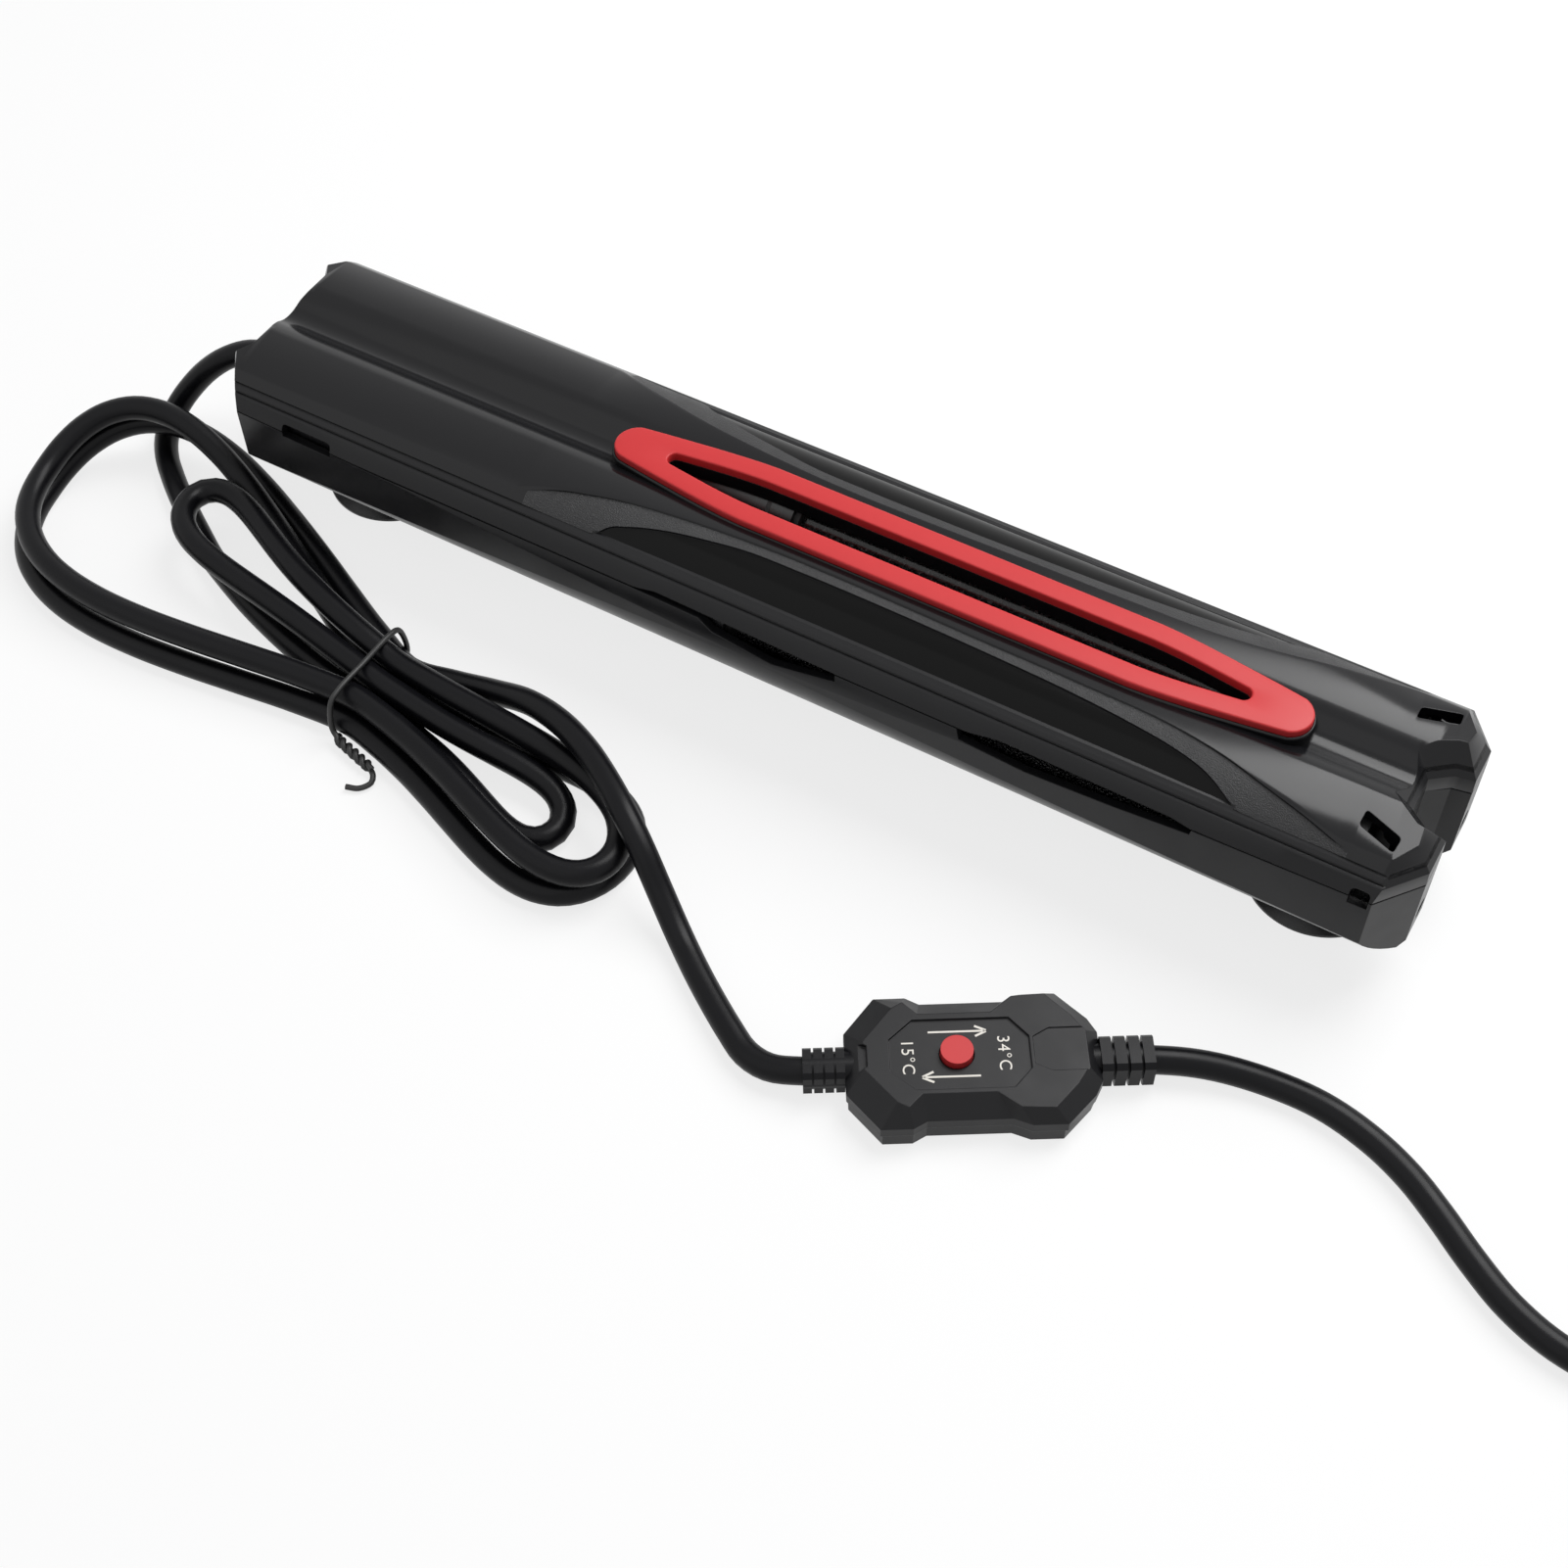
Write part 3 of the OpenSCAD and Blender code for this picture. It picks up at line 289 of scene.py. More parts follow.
POLISHED = {"grain": 0.001, "scale": 900, "vary": 0.04}
MOULDINGS = {
    "gloss_shell": ((0.006, 0.006, 0.007), 0.17, {**POLISHED, "shine": 0.25}),
    "satin_shell": ((0.009, 0.009, 0.01), 0.32, {"grain": 0.008, "shine": 0.23}),
    "controller_shell": ((0.009, 0.009, 0.01), 0.38, {"grain": 0.015, "shine": 0.21}),
    "red_accent": ((0.55, 0.03, 0.033), 0.42,
                   {"grain": 0.003, "scale": 4000, "edge": 0.15, "vary": 0.03, "shine": 0.3}),
    "inner_plastic": ((0.008, 0.008, 0.009), 0.3, {}),
    "seal_rubber": ((0.012, 0.012, 0.012), 0.6, {}),
    "cup_rubber": ((0.005, 0.005, 0.006), 0.25, {"grain": 0.01, "shine": 0.35}),
    "cord_rubber": ((0.003, 0.003, 0.004), 0.34,
                    {"grain": 0.012, "scale": 3000, "edge": 0, "shine": 0.15}),
    "tie_plastic": ((0.008, 0.008, 0.008), 0.5, {"grain": 0.03}),
    "lead_insulation": ((0.4, 0.02, 0.02), 0.5, {}),
    "board": ((0.01, 0.09, 0.03), 0.35, {}),
    "steel": ((0.55, 0.55, 0.57), 0.3, {"metal": 1}),
    "plated_brass": ((0.72, 0.7, 0.66), 0.2, {"metal": 1}),
    "ceramic": ((0.8, 0.77, 0.7), 0.8, {}),
    "resistance_wire": ((0.35, 0.3, 0.25), 0.4, {"metal": 1}),
    "strip": ((0.018, 0.018, 0.019), 0.5,
              {"grain": 0.3, "scale": 3200, "edge": 0, "shine": 0.4}),
    "panel": ((0.003, 0.003, 0.003), 0.14, {**POLISHED, "shine": 0.1}),
    "print_white": ((0.75, 0.72, 0.66), 0.6, {"grain": 0, "scale": 100, "edge": 0}),
}  # fmt: skip


def make_materials():
    """Every material of the scene by its name; most names are the record's slots."""
    made = {name: moulded(name, colour, roughness, **more)
            for name, (colour, roughness, more) in MOULDINGS.items()}  # fmt: skip
    made["quartz"] = granule_material("quartz", 0.6)
    made["granules"] = granule_material("granules", 0)
    return made


def granule_material(name, coat):
    """Coarse black mineral grains that sparkle, under clear quartz where coat is above 0."""
    paint = Paint(name, (0.01, 0.01, 0.011), 0.35, Coat_Weight=coat, Coat_Roughness=0.12)
    place = paint.node("ShaderNodeTexCoord")
    links = [("Vector", place.outputs["Object"])]
    cells = paint.node("ShaderNodeTexVoronoi", links, Scale=1500)
    paint.rough(cells.outputs["Color"], 0.15, 0.6, 0, 1)
    paint.tint(cells.outputs["Color"], (0.008, 0.008, 0.009), (0.16, 0.16, 0.17), 0.72, 0.95)
    paint.bump(cells.outputs["Distance"], 1.2)
    return paint.material


# ---------------------------------------------------------------- mesh helpers


def make_mesh(name, points, faces, smooth_angle):
    """A mesh from points in millimetres; edges sharper than smooth_angle stay hard."""
    mesh = bpy.data.meshes.new(name)
    mesh.from_pydata([tuple(np.asarray(p) * MM) for p in points], [], faces)
    mesh.validate()
    mesh.update()
    return finish_mesh(name, mesh, smooth_angle)


def finish_mesh(name, mesh, smooth_angle):
    """An object of a mesh that is smooth but at edges sharper than smooth_angle."""
    mesh.polygons.foreach_set("use_smooth", [True] * len(mesh.polygons))
    mesh.set_sharp_from_angle(angle=math.radians(smooth_angle))
    made = bpy.data.objects.new(name, mesh)
    bpy.context.scene.collection.objects.link(made)
    return made


def place_piece(piece, body, slot, nodes=(), paint=None):
    """Attaches a piece to its body, hides the CAD nodes that it stands for and, where it has
    no material yet, gives it the slot's material, or paint where that is given.
    """
    if not any(piece.data.materials):
        piece.data.materials.clear()
        piece.data.materials.append(paint or MATERIALS[slot])
    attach(piece, body)
    if nodes:
        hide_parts(*nodes)
    return piece


# ---------------------------------------------------------------- cords

# The place of the hank's tie, the turn of its long axis, and the angle from one point of a
# loop to the next in degrees.
HANK_POS = np.array([-84.0, -66.0])
HANK_TURN = math.radians(-8.5)
LOOP_STEP = 7.5


def hank_point(u, v, z):
    """A point that lies u along the hank's axis and v across it, from its tie."""
    c, s = math.cos(HANK_TURN), math.sin(HANK_TURN)
    return [HANK_POS[0] + u * c - v * s, HANK_POS[1] + u * s + v * c, z]


def ease(t):
    """Rises from 0 to 1 as t does, and slows towards 1."""
    return math.sin(math.radians(90 * min(1, t)))


def half_loop(reach, a, b, swell, shift, full, heights, ramps, hump):
    """One half loop of the hank, from the tie at v = a out to reach and back at v = b.

    swell is how far it opens and shift how far its end lies off the axis; full above 1 opens
    it nearer its end. heights are those at the start, the end of the loop and the return,
    ramps the angles over which they change, and hump a rise (angle, half width, height). A
    negative second ramp eases the return at both its ends.
    """
    points = []
    for i in np.arange(0, 179.9, LOOP_STEP):
        si, co = math.sin(math.radians(i)), math.cos(math.radians(i))
        v = a + (b - a) * (1 - co) / 2 + swell * co * si**full + shift * si**2
        if i < 90:
            z = heights[0] + (heights[1] - heights[0]) * ease(i / ramps[0])
        elif ramps[1] > 0:
            z = heights[2] + (heights[1] - heights[2]) * ease((180 - i) / ramps[1])
        else:
            turn = min(1, (i - 180) / ramps[1])
            z = heights[2] + (heights[1] - heights[2]) * (1 - math.cos(math.radians(90 * turn)))
        z += hump[2] * max(0, 1 - ((i - hump[0]) / hump[1]) ** 2) ** 2
        points.append(hank_point(reach * si, v, z))
    return points


FLAT = (0, 1, 0)
PASS_OVER = (115, 38, 8.2)


def hank_loops():
    """The hank's three loops, each a half to the right of the tie and a half to its left."""
    return (
        half_loop(61, -3.5, 0, -19, -2, 3, (LOW, LOW, HIGH), (60, -80), FLAT)
        + half_loop(-77, 0, 7, -20, 9, 3, (HIGH, HIGH + 4.2, HIGH), (70, 26), FLAT)
        + half_loop(80, 7, -7, 21, -6, 2, (HIGH, OVER, HIGH), (25, 30), FLAT)
        + half_loop(-118, -7, 3.4, -50, 5.5, 1.3, (HIGH, OVER, LOW), (30, 68), PASS_OVER)
        + half_loop(79, 3.4, -10.5, 31, 0, 2, (LOW, LOW, LOW), (30, 30), FLAT)
        + half_loop(-119, -10.5, 10.6, -50, 3.5, 1.3, (LOW, LOW, LOW), (30, 30), PASS_OVER)
    )


def at_controller(u, v=0.0, z=CTRL_CORD_Z):
    """A point u along the controller and v across it."""
    c, s = math.cos(math.radians(CTRL_YAW)), math.sin(math.radians(CTRL_YAW))
    return [CTRL_POS[0] + u * c - v * s, CTRL_POS[1] + u * s + v * c, z]


GLAND_TIP = [-163.5, 0, 26]
TIP_IN = at_controller(-CTRL_L / 2 - RELIEF_IN_L)
TIP_OUT = at_controller(CTRL_L / 2 + RELIEF_OUT_L)

HEATER_LEAD = [
    [-152, 0, 26], GLAND_TIP, [-169.8, -1.2, 25.2], [-175.8, -3.8, 22.6], [-180.9, -6.8, 18.6],
    [-184.8, -10, 14], [-187.3, -13.8, 9.7], [-188, -18, 6.2], [-186.4, -22.8, 4],
    [-182.2, -27.8, 3.4], [-176.6, -32.4, LOW], [-170.5, -36.8, LOW], [-163.8, -41.2, LOW],
    [-157, -45.4, LOW],
]  # fmt: skip
HANK_IN = [[-67, 6.2, 0], [-59, 3.9, 0], [-44, 0.4, 0], [-22, -2.7, 0]]
HANK_OUT = [
    [0, 10.6, 0], [12, 13.7, 1], [24, 15.6, 4.6], [36, 15.9, 9.4], [48, 14.2, 12.5],
    [59, 11, 14], [69, 6.9, 14.5], [78, 2.6, 14.4], [86, -1, 11.4], [94, -4.4, 5.4],
    [103, -8.6, 0.8], [114, -14.2, 0],
]  # fmt: skip
CONTROLLER_LEAD = [
    [38.6, -104.6, LOW], [44.4, -107.7, LOW + 0.1], [50.6, -108.6, LOW + 0.8], TIP_IN,
    at_controller(-CTRL_L / 2 + 4),
]  # fmt: skip

COIL_POS = np.array([288.0, -118.0])
COIL_R, COIL_PITCH, COIL_TURNS, COIL_STEPS = 41.0, 7.2, 1.75, 36
COIL_LAYER = LOW + CORD_D + 0.45


def coil_loops():
    """The mains coil: it winds in on the floor, climbs in half a turn, and winds out."""
    points = []
    for i in range(int(COIL_STEPS * (2 * COIL_TURNS + 0.5)) + 1):
        t = i / COIL_STEPS
        climb = min(1, max(0, 2 * (t - COIL_TURNS)))
        if t < COIL_TURNS:
            wound = t
        else:
            wound = COIL_TURNS if t < COIL_TURNS + 0.5 else 2 * COIL_TURNS + 0.5 - t
        radius = COIL_R - 2 * math.sin(math.pi * climb) - COIL_PITCH * wound
        angle = 2 * math.pi * t
        x, y = COIL_POS + radius * np.array([math.sin(angle), math.cos(angle)])
        points.append([x, y, LOW + (COIL_LAYER - LOW) * climb])
    return points


MAINS_LEAD = [
    at_controller(CTRL_L / 2 - 4), TIP_OUT, [131.5, -61.7, 4.3], [143.6, -58.5, LOW],
    [156.5, -58, LOW], [168.6, -60.5, LOW], [178.5, -64.6, LOW], [187, -69.8, LOW],
    [196, -76, LOW], [206, -81.8, LOW], [217, -85.4, LOW], [229, -86, LOW], [242, -84, LOW],
    [255, -80.5, LOW], [266, -78, LOW], [274, -77, LOW], [281, -77, LOW],
]  # fmt: skip
MAINS_TAIL = [
    [295, -77, COIL_LAYER], [302, -77, COIL_LAYER], [315, -77.5, 11.5], [329, -79, 13.2],
    [342, -85, 15.6], [350.5, -95, 17.8], [354, -107, 18.5], [354, -116, 18.5],
]  # fmt: skip


def smooth_route(points, spacing=2.0):
    """Points about spacing apart on a smooth curve through the given ones."""
    p = np.array(points, float)
    p = np.vstack([2 * p[0] - p[1], p, 2 * p[-1] - p[-2]])
    step = np.sqrt(np.maximum(np.linalg.norm(np.diff(p, axis=0), axis=1), 1e-6))
    knot = np.concatenate([[0], np.cumsum(step)])
    route = []
    for i in range(1, len(p) - 2):
        a, b, c, d = p[i - 1 : i + 3]
        ta, tb, tc, td = knot[i - 1 : i + 3]
        count = max(1, int(round(np.linalg.norm(c - b) / spacing)))
        for t in tb + (tc - tb) * np.arange(count) / count:
            ab = a + (b - a) * (t - ta) / (tb - ta)
            bc = b + (c - b) * (t - tb) / (tc - tb)
            cd = c + (d - c) * (t - tc) / (td - tc)
            abc = ab + (bc - ab) * (t - ta) / (tc - ta)
            bcd = bc + (cd - bc) * (t - tb) / (td - tb)
            route.append(abc + (bcd - abc) * (t - tb) / (tc - tb))
    route.append(p[-2])
    return np.array(route)


def add_cord(name, route, nodes):
    """A round cord along a route, which stands for its CAD nodes."""
    curve = bpy.data.curves.new(name, "CURVE")
    curve.dimensions = "3D"
    curve.bevel_depth = CORD_R * MM
    curve.bevel_resolution = 5
    curve.use_fill_caps = True
    spline = curve.splines.new("POLY")
    spline.points.add(len(route) - 1)
    for point, place in zip(spline.points, route):
        point.co = (*(place * MM), 1)
    spline.use_smooth = True
    cord = bpy.data.objects.new(name, curve)
    bpy.context.scene.collection.objects.link(cord)
    return place_piece(cord, "heater", "cord_rubber", nodes)


HEATER_CORD_NODES = ["heater_cord", "cord_hank", "controller_cord"]
MAINS_CORD_NODES = ["mains_cord", "mains_coil", "mains_tail"]


def add_cords():
    """The cord to the controller and the cord to the plug, each with its route."""
    on_floor = [hank_point(u, v, LOW + z) for u, v, z in HANK_IN]
    leaving = [hank_point(u, v, LOW + z) for u, v, z in HANK_OUT]
    to_controller = HEATER_LEAD + on_floor + hank_loops() + leaving + CONTROLLER_LEAD
    to_plug = MAINS_LEAD + coil_loops() + MAINS_TAIL
    cords = []
    for name, points, nodes in (
        ("cord_to_controller", to_controller, HEATER_CORD_NODES),
        ("cord_to_plug", to_plug, MAINS_CORD_NODES),
    ):
        route = smooth_route(points)
        cords.append((add_cord(name, route, nodes), route))
    return cords


# ---------------------------------------------------------------- guard


def half_width(x):
    """Half the guard's width at x; its flanks bow outwards in plan."""
    return BODY_W / 2 - SIDE_BOW * (x / HALF_L) ** 2


def smooth_step(t):
    """Rises smoothly from 0 to 1 as t does."""
    t = np.clip(t, 0, 1)
    return t * t * (3 - 2 * t)


# The rounded valley between the lobes: its radius, the height of its centre, its half width.
VALLEY_R = 6.0
VALLEY_C = LOBE_Z + math.sqrt((LOBE_R + VALLEY_R) ** 2 - LOBE_Y**2)
VALLEY_Y = LOBE_Y * VALLEY_R / (LOBE_R + VALLEY_R)


def lobe_surface(y):
    """Height and outward normal (y, z) of the guard's upper face, with its valley rounded."""
    a = np.abs(y)
    side = np.where(y < 0, -1.0, 1.0)
    rise = np.sqrt(np.maximum(LOBE_R**2 - (a - LOBE_Y) ** 2, 1e-9))
    dip = np.sqrt(np.maximum(VALLEY_R**2 - a**2, 1e-9))
    inside = a < VALLEY_Y
    z = np.where(inside, VALLEY_C - dip, LOBE_Z + rise)
    ny = np.where(inside, -y / VALLEY_R, side * (a - LOBE_Y) / LOBE_R)
    nz = np.where(inside, dip / VALLEY_R, rise / LOBE_R)
    return z, ny, nz


# The lower edge of the glossy cover on the flank, the thickness of its skin, the height of
# its underside at its ends, where it is solid, where along the guard it is hollow, and how
# far its lower edge turns in.
COVER_EDGE_Z = 42.8
COVER_SKIN = 2.4
COVER_BASE_Z = 41.7
HOLLOW_X = (-151, 146.5)
EDGE_TURN = 0.3
COVER_EDGE_Y = LOBE_Y + math.sqrt(LOBE_R**2 - (COVER_EDGE_Z - LOBE_Z) ** 2)

# The textured strip's edge towards the crest, and the panel's upper edge, as (x, |y|).
STRIP_TOP = [(-70, 24.6), (-62, 21.4), (-56, 19.4), (-51, 18.2), (-46, 17), (-39, 15.7),
             (-26.5, 14.2), (-14, 13.2), (-1, 12.6), (12, 12.5), (30, 12.8), (49, 13.2),
             (73, 13.5), (97, 14.5), (109, 16.4), (120, 19.2), (130, 21.6), (138, 23.7),
             (143, 24.9)]  # fmt: skip
STRIP_LOW = [(-45.6, 25.3), (-44.3, 24.6), (-42.6, 23.2), (-38, 21.4), (-29, 18.8), (-19.4, 17),
             (-10, 15.6), (5, 15.1), (26, 15.1), (51, 15.6), (75, 16.6), (90, 17.9),
             (99, 19.1), (108, 21.4), (114.6, 24.6), (116, 25.3)]  # fmt: skip
STRIP_DEPTH, PANEL_DEPTH = 0.45, 1.1
STRIP_X, PANEL_X = (-70, 144), (-46, 116.5)
# How deep a face has to be sunk to show the strip's material, and the panel's.
STRIP_FROM, PANEL_FROM = 0.12, STRIP_DEPTH + 0.06


def curve_at(points, x):
    """The smooth curve through points at x; level beyond its two ends."""
    px, py = np.array(points, float).T
    slope = np.gradient(py, px)
    i = np.clip(np.searchsorted(px, x) - 1, 0, len(px) - 2)
    h = px[i + 1] - px[i]
    t = np.clip((x - px[i]) / h, 0, 1)
    return (
        (2 * t**3 - 3 * t**2 + 1) * py[i]
        + (t**3 - 2 * t**2 + t) * h * slope[i]
        + (3 * t**2 - 2 * t**3) * py[i + 1]
        + (t**3 - t**2) * h * slope[i + 1]
    )


def cover_lines(x):
    """Distances from the middle plane of the cover's long grid lines at x, on one side."""
    top = curve_at(STRIP_TOP, x)
    low = np.maximum(curve_at(STRIP_LOW, x), top + 0.6)
    last = COVER_EDGE_Y
    top, low = min(top, last - 1.6), min(low, last - 0.8)
    inner = [0, 0.25, 0.5, 0.75, 1, 1.5, 2.2, 3.2, 4.4, 5.8, 7.2, 8.6, 10]
    near = [top - 1.2, top - 0.35, top - 0.06, top + 0.14, top + 0.5]
    between = [(2 * top + low) / 3, (top + 2 * low) / 3]
    edge = [low - 0.3, low - 0.05, low + 0.16, low + 0.6]
    rest = [low + 0.6 + (last - low - 0.6) * k / 6 for k in range(1, 7)]
    lines = inner + near + between + edge + rest
    for k in range(1, len(lines)):
        lines[k] = max(lines[k], lines[k - 1] + 0.02)
    return np.minimum(lines, last + 0.001 * np.arange(len(lines)))


def between(x, ends, fade_in, fade_out):
    """Rises from 0 to 1 after the first end and falls back to 0 before the second."""
    return smooth_step((x - ends[0]) / fade_in) * smooth_step((ends[1] - x) / fade_out)


def cover_sink(x, a):
    """How deep the strip and the panel lie below the cover's face at x and |y| = a."""
    top, low = curve_at(STRIP_TOP, x), curve_at(STRIP_LOW, x)
    strip = smooth_step((a - top + 0.05) / 0.16) * between(x, STRIP_X, 14, 8)
    panel = smooth_step((a - low + 0.05) / 0.2) * between(x, PANEL_X, 1.2, 1.6)
    return strip * STRIP_DEPTH + panel * (PANEL_DEPTH - STRIP_DEPTH)


def cover_stations():
    """Where along the guard the cover's sections lie, closer where it changes more."""
    spans = ((-159, -146, 1), (-146, -72, 3), (-72, -36, 0.75), (-36, 92, 2.5), (92, 147, 1),
             (147, 159.5, 0.75))  # fmt: skip
    return np.concatenate([np.arange(*span, dtype=float) for span in spans])


def offset_line(points, distance):
    """A polyline moved to its right by distance, with mitred corners."""
    p = np.array(points, float)
    step = np.diff(p, axis=0)
    step /= np.linalg.norm(step, axis=1)[:, None]
    normal = np.stack([step[:, 1], -step[:, 0]], 1)
    moved = [p[0] + normal[0] * distance]
    for i in range(1, len(p) - 1):
        both = normal[i - 1] + normal[i]
        moved.append(p[i] + both * distance * 2 / (both @ both))
    moved.append(p[-1] + normal[-1] * distance)
    return np.array(moved)


def free_end(inset):
    """The free end's outline in plan from the notch to the flank, at y >= 0."""
    line = [(HALF_L - NOTCH_DEPTH, -4), (HALF_L - NOTCH_DEPTH, 4.6), (HALF_L - 4.4, 8.2),
            (HALF_L, 9), (HALF_L, 18.6), (HALF_L - 8, 28.8), (HALF_L - 11.5, 33.3)]  # fmt: skip
    moved = offset_line(line, -inset)
    moved[0] = (moved[1][0], 0)
    return moved


def cord_end(inset):
    """The cord end's outline in plan from the middle to the flank, at y >= 0."""
    line = [(-HALF_L + 2.6, 0), (-HALF_L + 2.6, 14.4), (-HALF_L + 0.2, 18.8),
            (-HALF_L + 8, 28.8), (-HALF_L + 11.5, 33.3)]  # fmt: skip
    moved = offset_line(line, inset)
    moved[0] = (moved[1][0], 0)
    return moved


def end_slopes(z):
    """How far the cord end and the free end lie inside the guard's outline at the height z."""
    left = np.interp(z, [36, 40.2, 43, 45, 46.3, 47, 47.3], [0, 0.4, 0.8, 1.4, 2.2, 3.2, 3.9])
    return float(left), float(np.interp(z, [40.2, 47.3], [0, 5.2]))


def mirrored(half, z):
    """A level contour from its half at y >= 0, whose two ends lie on the middle plane."""
    other = half[1:-1][::-1] * (1, -1)
    return [(x, y, z) for x, y in np.vstack([half, other])]


def trimming_solid():
    """The prism, with sloped ends, that the cover's skin is cut to."""
    rings = []
    for z in (25, 40.2, 43, 45, 46.3, 47, 47.3, 60):
        a, b = cord_end(end_slopes(z)[0]), free_end(end_slopes(z)[1])
        side = np.array([(-HALF_L + 16, 35), (HALF_L - 16, 35)])
        rings.append(mirrored(np.vstack([a, side, b[::-1]]), z))
    return loft("trim", rings, capped=True)


def loft(name, rings, capped=False, closed=False, smooth_angle=35):
    """A surface through rings of equally many points; closed joins the last to the first."""
    count = len(rings[0])
    faces = []
    for k in range(len(rings) if closed else len(rings) - 1):
        a, b = k * count, (k + 1) % len(rings) * count
        for i in range(count):
            j = (i + 1) % count
            faces.append((a + i, a + j, b + j, b + i))
    if capped:
        last = (len(rings) - 1) * count
        faces += [tuple(range(count))[::-1], tuple(range(last, last + count))]
    made = make_mesh(name, [p for ring in rings for p in ring], faces, smooth_angle)
    fix_normals(made, smooth_angle)
    return made


def fix_normals(piece, smooth_angle):
    """Turns every face of a closed piece outwards."""
    work = bmesh.new()
    work.from_mesh(piece.data)
    bmesh.ops.recalc_face_normals(work, faces=work.faces)
    if work.calc_volume(signed=True) < 0:
        bmesh.ops.reverse_faces(work, faces=work.faces)
    work.to_mesh(piece.data)
    work.free()
    piece.data.set_sharp_from_angle(angle=math.radians(smooth_angle))


def combine(piece, cutter, smooth_angle, operation="DIFFERENCE"):
    """Applies a boolean with the cutter, which is then removed."""
    change = piece.modifiers.new("cut", "BOOLEAN")
    change.operation = operation
    change.solver = "MANIFOLD"
    change.object = cutter
    bpy.context.view_layer.update()
    shaped = piece.evaluated_get(bpy.context.evaluated_depsgraph_get())
    mesh = bpy.data.meshes.new_from_object(shaped)
    piece.modifiers.clear()
    old, piece.data = piece.data, mesh
    bpy.data.meshes.remove(old)
    bpy.data.objects.remove(cutter)
    piece.data.polygons.foreach_set("use_smooth", [True] * len(piece.data.polygons))
    piece.data.set_sharp_from_angle(angle=math.radians(smooth_angle))


def prism(name, outline, z0, z1):
    """An upright prism from an outline in plan."""
    return loft(name, [[(x, y, z) for x, y in outline] for z in (z0, z1)], capped=True)


def side_prism(name, outline, y0, y1):
    """A prism across the guard from an outline (x, z)."""
    return loft(name, [[(x, y, z) for x, z in outline] for y in (y0, y1)], capped=True)


def cover_skin():
    """The cover's outer and inner grids of points, a row for each section, and how deep each
    outer point is sunk.
    """
    outer, inner, sunk = [], [], []
    for x in cover_stations():
        half = cover_lines(x)
        y = np.concatenate([-half[:0:-1], half])
        z, ny, nz = lobe_surface(y)
        sink = cover_sink(x, np.abs(y))
        cut = sink + np.where(np.abs(y) > COVER_EDGE_Y - 0.01, EDGE_TURN, 0)
        outer.append(np.stack([np.full_like(y, x), y - ny * cut, z - nz * cut], 1))
        thin = between(x, HOLLOW_X, 1.5, 1.5)
        below = np.minimum(z - nz * COVER_SKIN, z - 0.4)
        height = COVER_BASE_Z + (below - COVER_BASE_Z) * thin
        inner.append(np.stack([np.full_like(y, x), y - ny * COVER_SKIN * thin, height], 1))
        sunk.append(sink)
    return outer, inner, sunk


def cover_faces(sunk):
    """The faces of the cover's skin, and for each its material: shell, strip or panel."""
    rows, cols = len(sunk), len(sunk[0])
    below = rows * cols
    faces, kinds = [], []
    for i in range(rows - 1):
        for j in range(cols - 1):
            a = i * cols + j
            quad = (a, a + cols, a + cols + 1, a + 1)
            depth = [sunk[i + di][j + dj] for di in (0, 1) for dj in (0, 1)]
            in_strip = min(depth) > STRIP_FROM and max(depth) < PANEL_FROM
            in_panel = min(depth) > PANEL_FROM
            faces += [quad, tuple(below + k for k in quad[::-1])]
            kinds += [1 if in_strip else 2 if in_panel else 0, 0]
    border = list(range(cols)) + [i * cols + cols - 1 for i in range(1, rows)]
    border += [(rows - 1) * cols + j for j in range(cols - 2, -1, -1)]
    border += [i * cols for i in range(rows - 2, 0, -1)]
    for a, b in zip(border, border[1:] + border[:1]):
        faces.append((a, b, below + b, below + a))
        kinds.append(0)
    return faces, kinds


def add_cover():
    """The glossy upper cover: twin lobes with a pressed strip and panel on each flank."""
    outer, inner, sunk = cover_skin()
    faces, kinds = cover_faces(sunk)
    cover = make_mesh("cover", np.concatenate(outer + inner), faces, 40)
    for name in ("gloss_shell", "strip", "panel"):
        cover.data.materials.append(MATERIALS[name])
    cover.data.polygons.foreach_set("material_index", np.array(kinds, dtype=np.int32))
    fix_normals(cover, 40)
    combine(cover, trimming_solid(), 40, "INTERSECT")
    combine(cover, prism("slot", oval("slot", 1.4), 20, 70), 40)
    for side in (-1, 1):
        slot = round_corners([(x, side * y) for x, y in LOBE_SLOT][::side], 0.9)
        combine(cover, prism("lobe_slot", slot, 38, 60), 40)
    place_piece(cover, "heater", "gloss_shell", ["top_cover"])


# The slanted slot at the free end of each lobe, and the steps of a rounded corner.
LOBE_SLOT = [(140.7, 14.2), (149.6, 17.3), (149.3, 21.2), (140.6, 18.2)]
CORNER_STEPS = 4


def round_corners(outline, radius):
    """Replaces each corner of an outline by an arc of about that radius."""
    p = np.array(outline, float)
    made = []
    for i in range(len(p)):
        before, here, after = p[i - 1], p[i], p[(i + 1) % len(p)]
        d1, d2 = before - here, after - here
        l1, l2 = np.linalg.norm(d1), np.linalg.norm(d2)
        reach = min(radius, l1 * 0.45, l2 * 0.45)
        a, b = here + d1 / l1 * reach, here + d2 / l2 * reach
        for t in np.linspace(0, 1, CORNER_STEPS + 1):
            made.append((1 - t) ** 2 * a + 2 * t * (1 - t) * here + t**2 * b)
    return [tuple(q) for q in made]


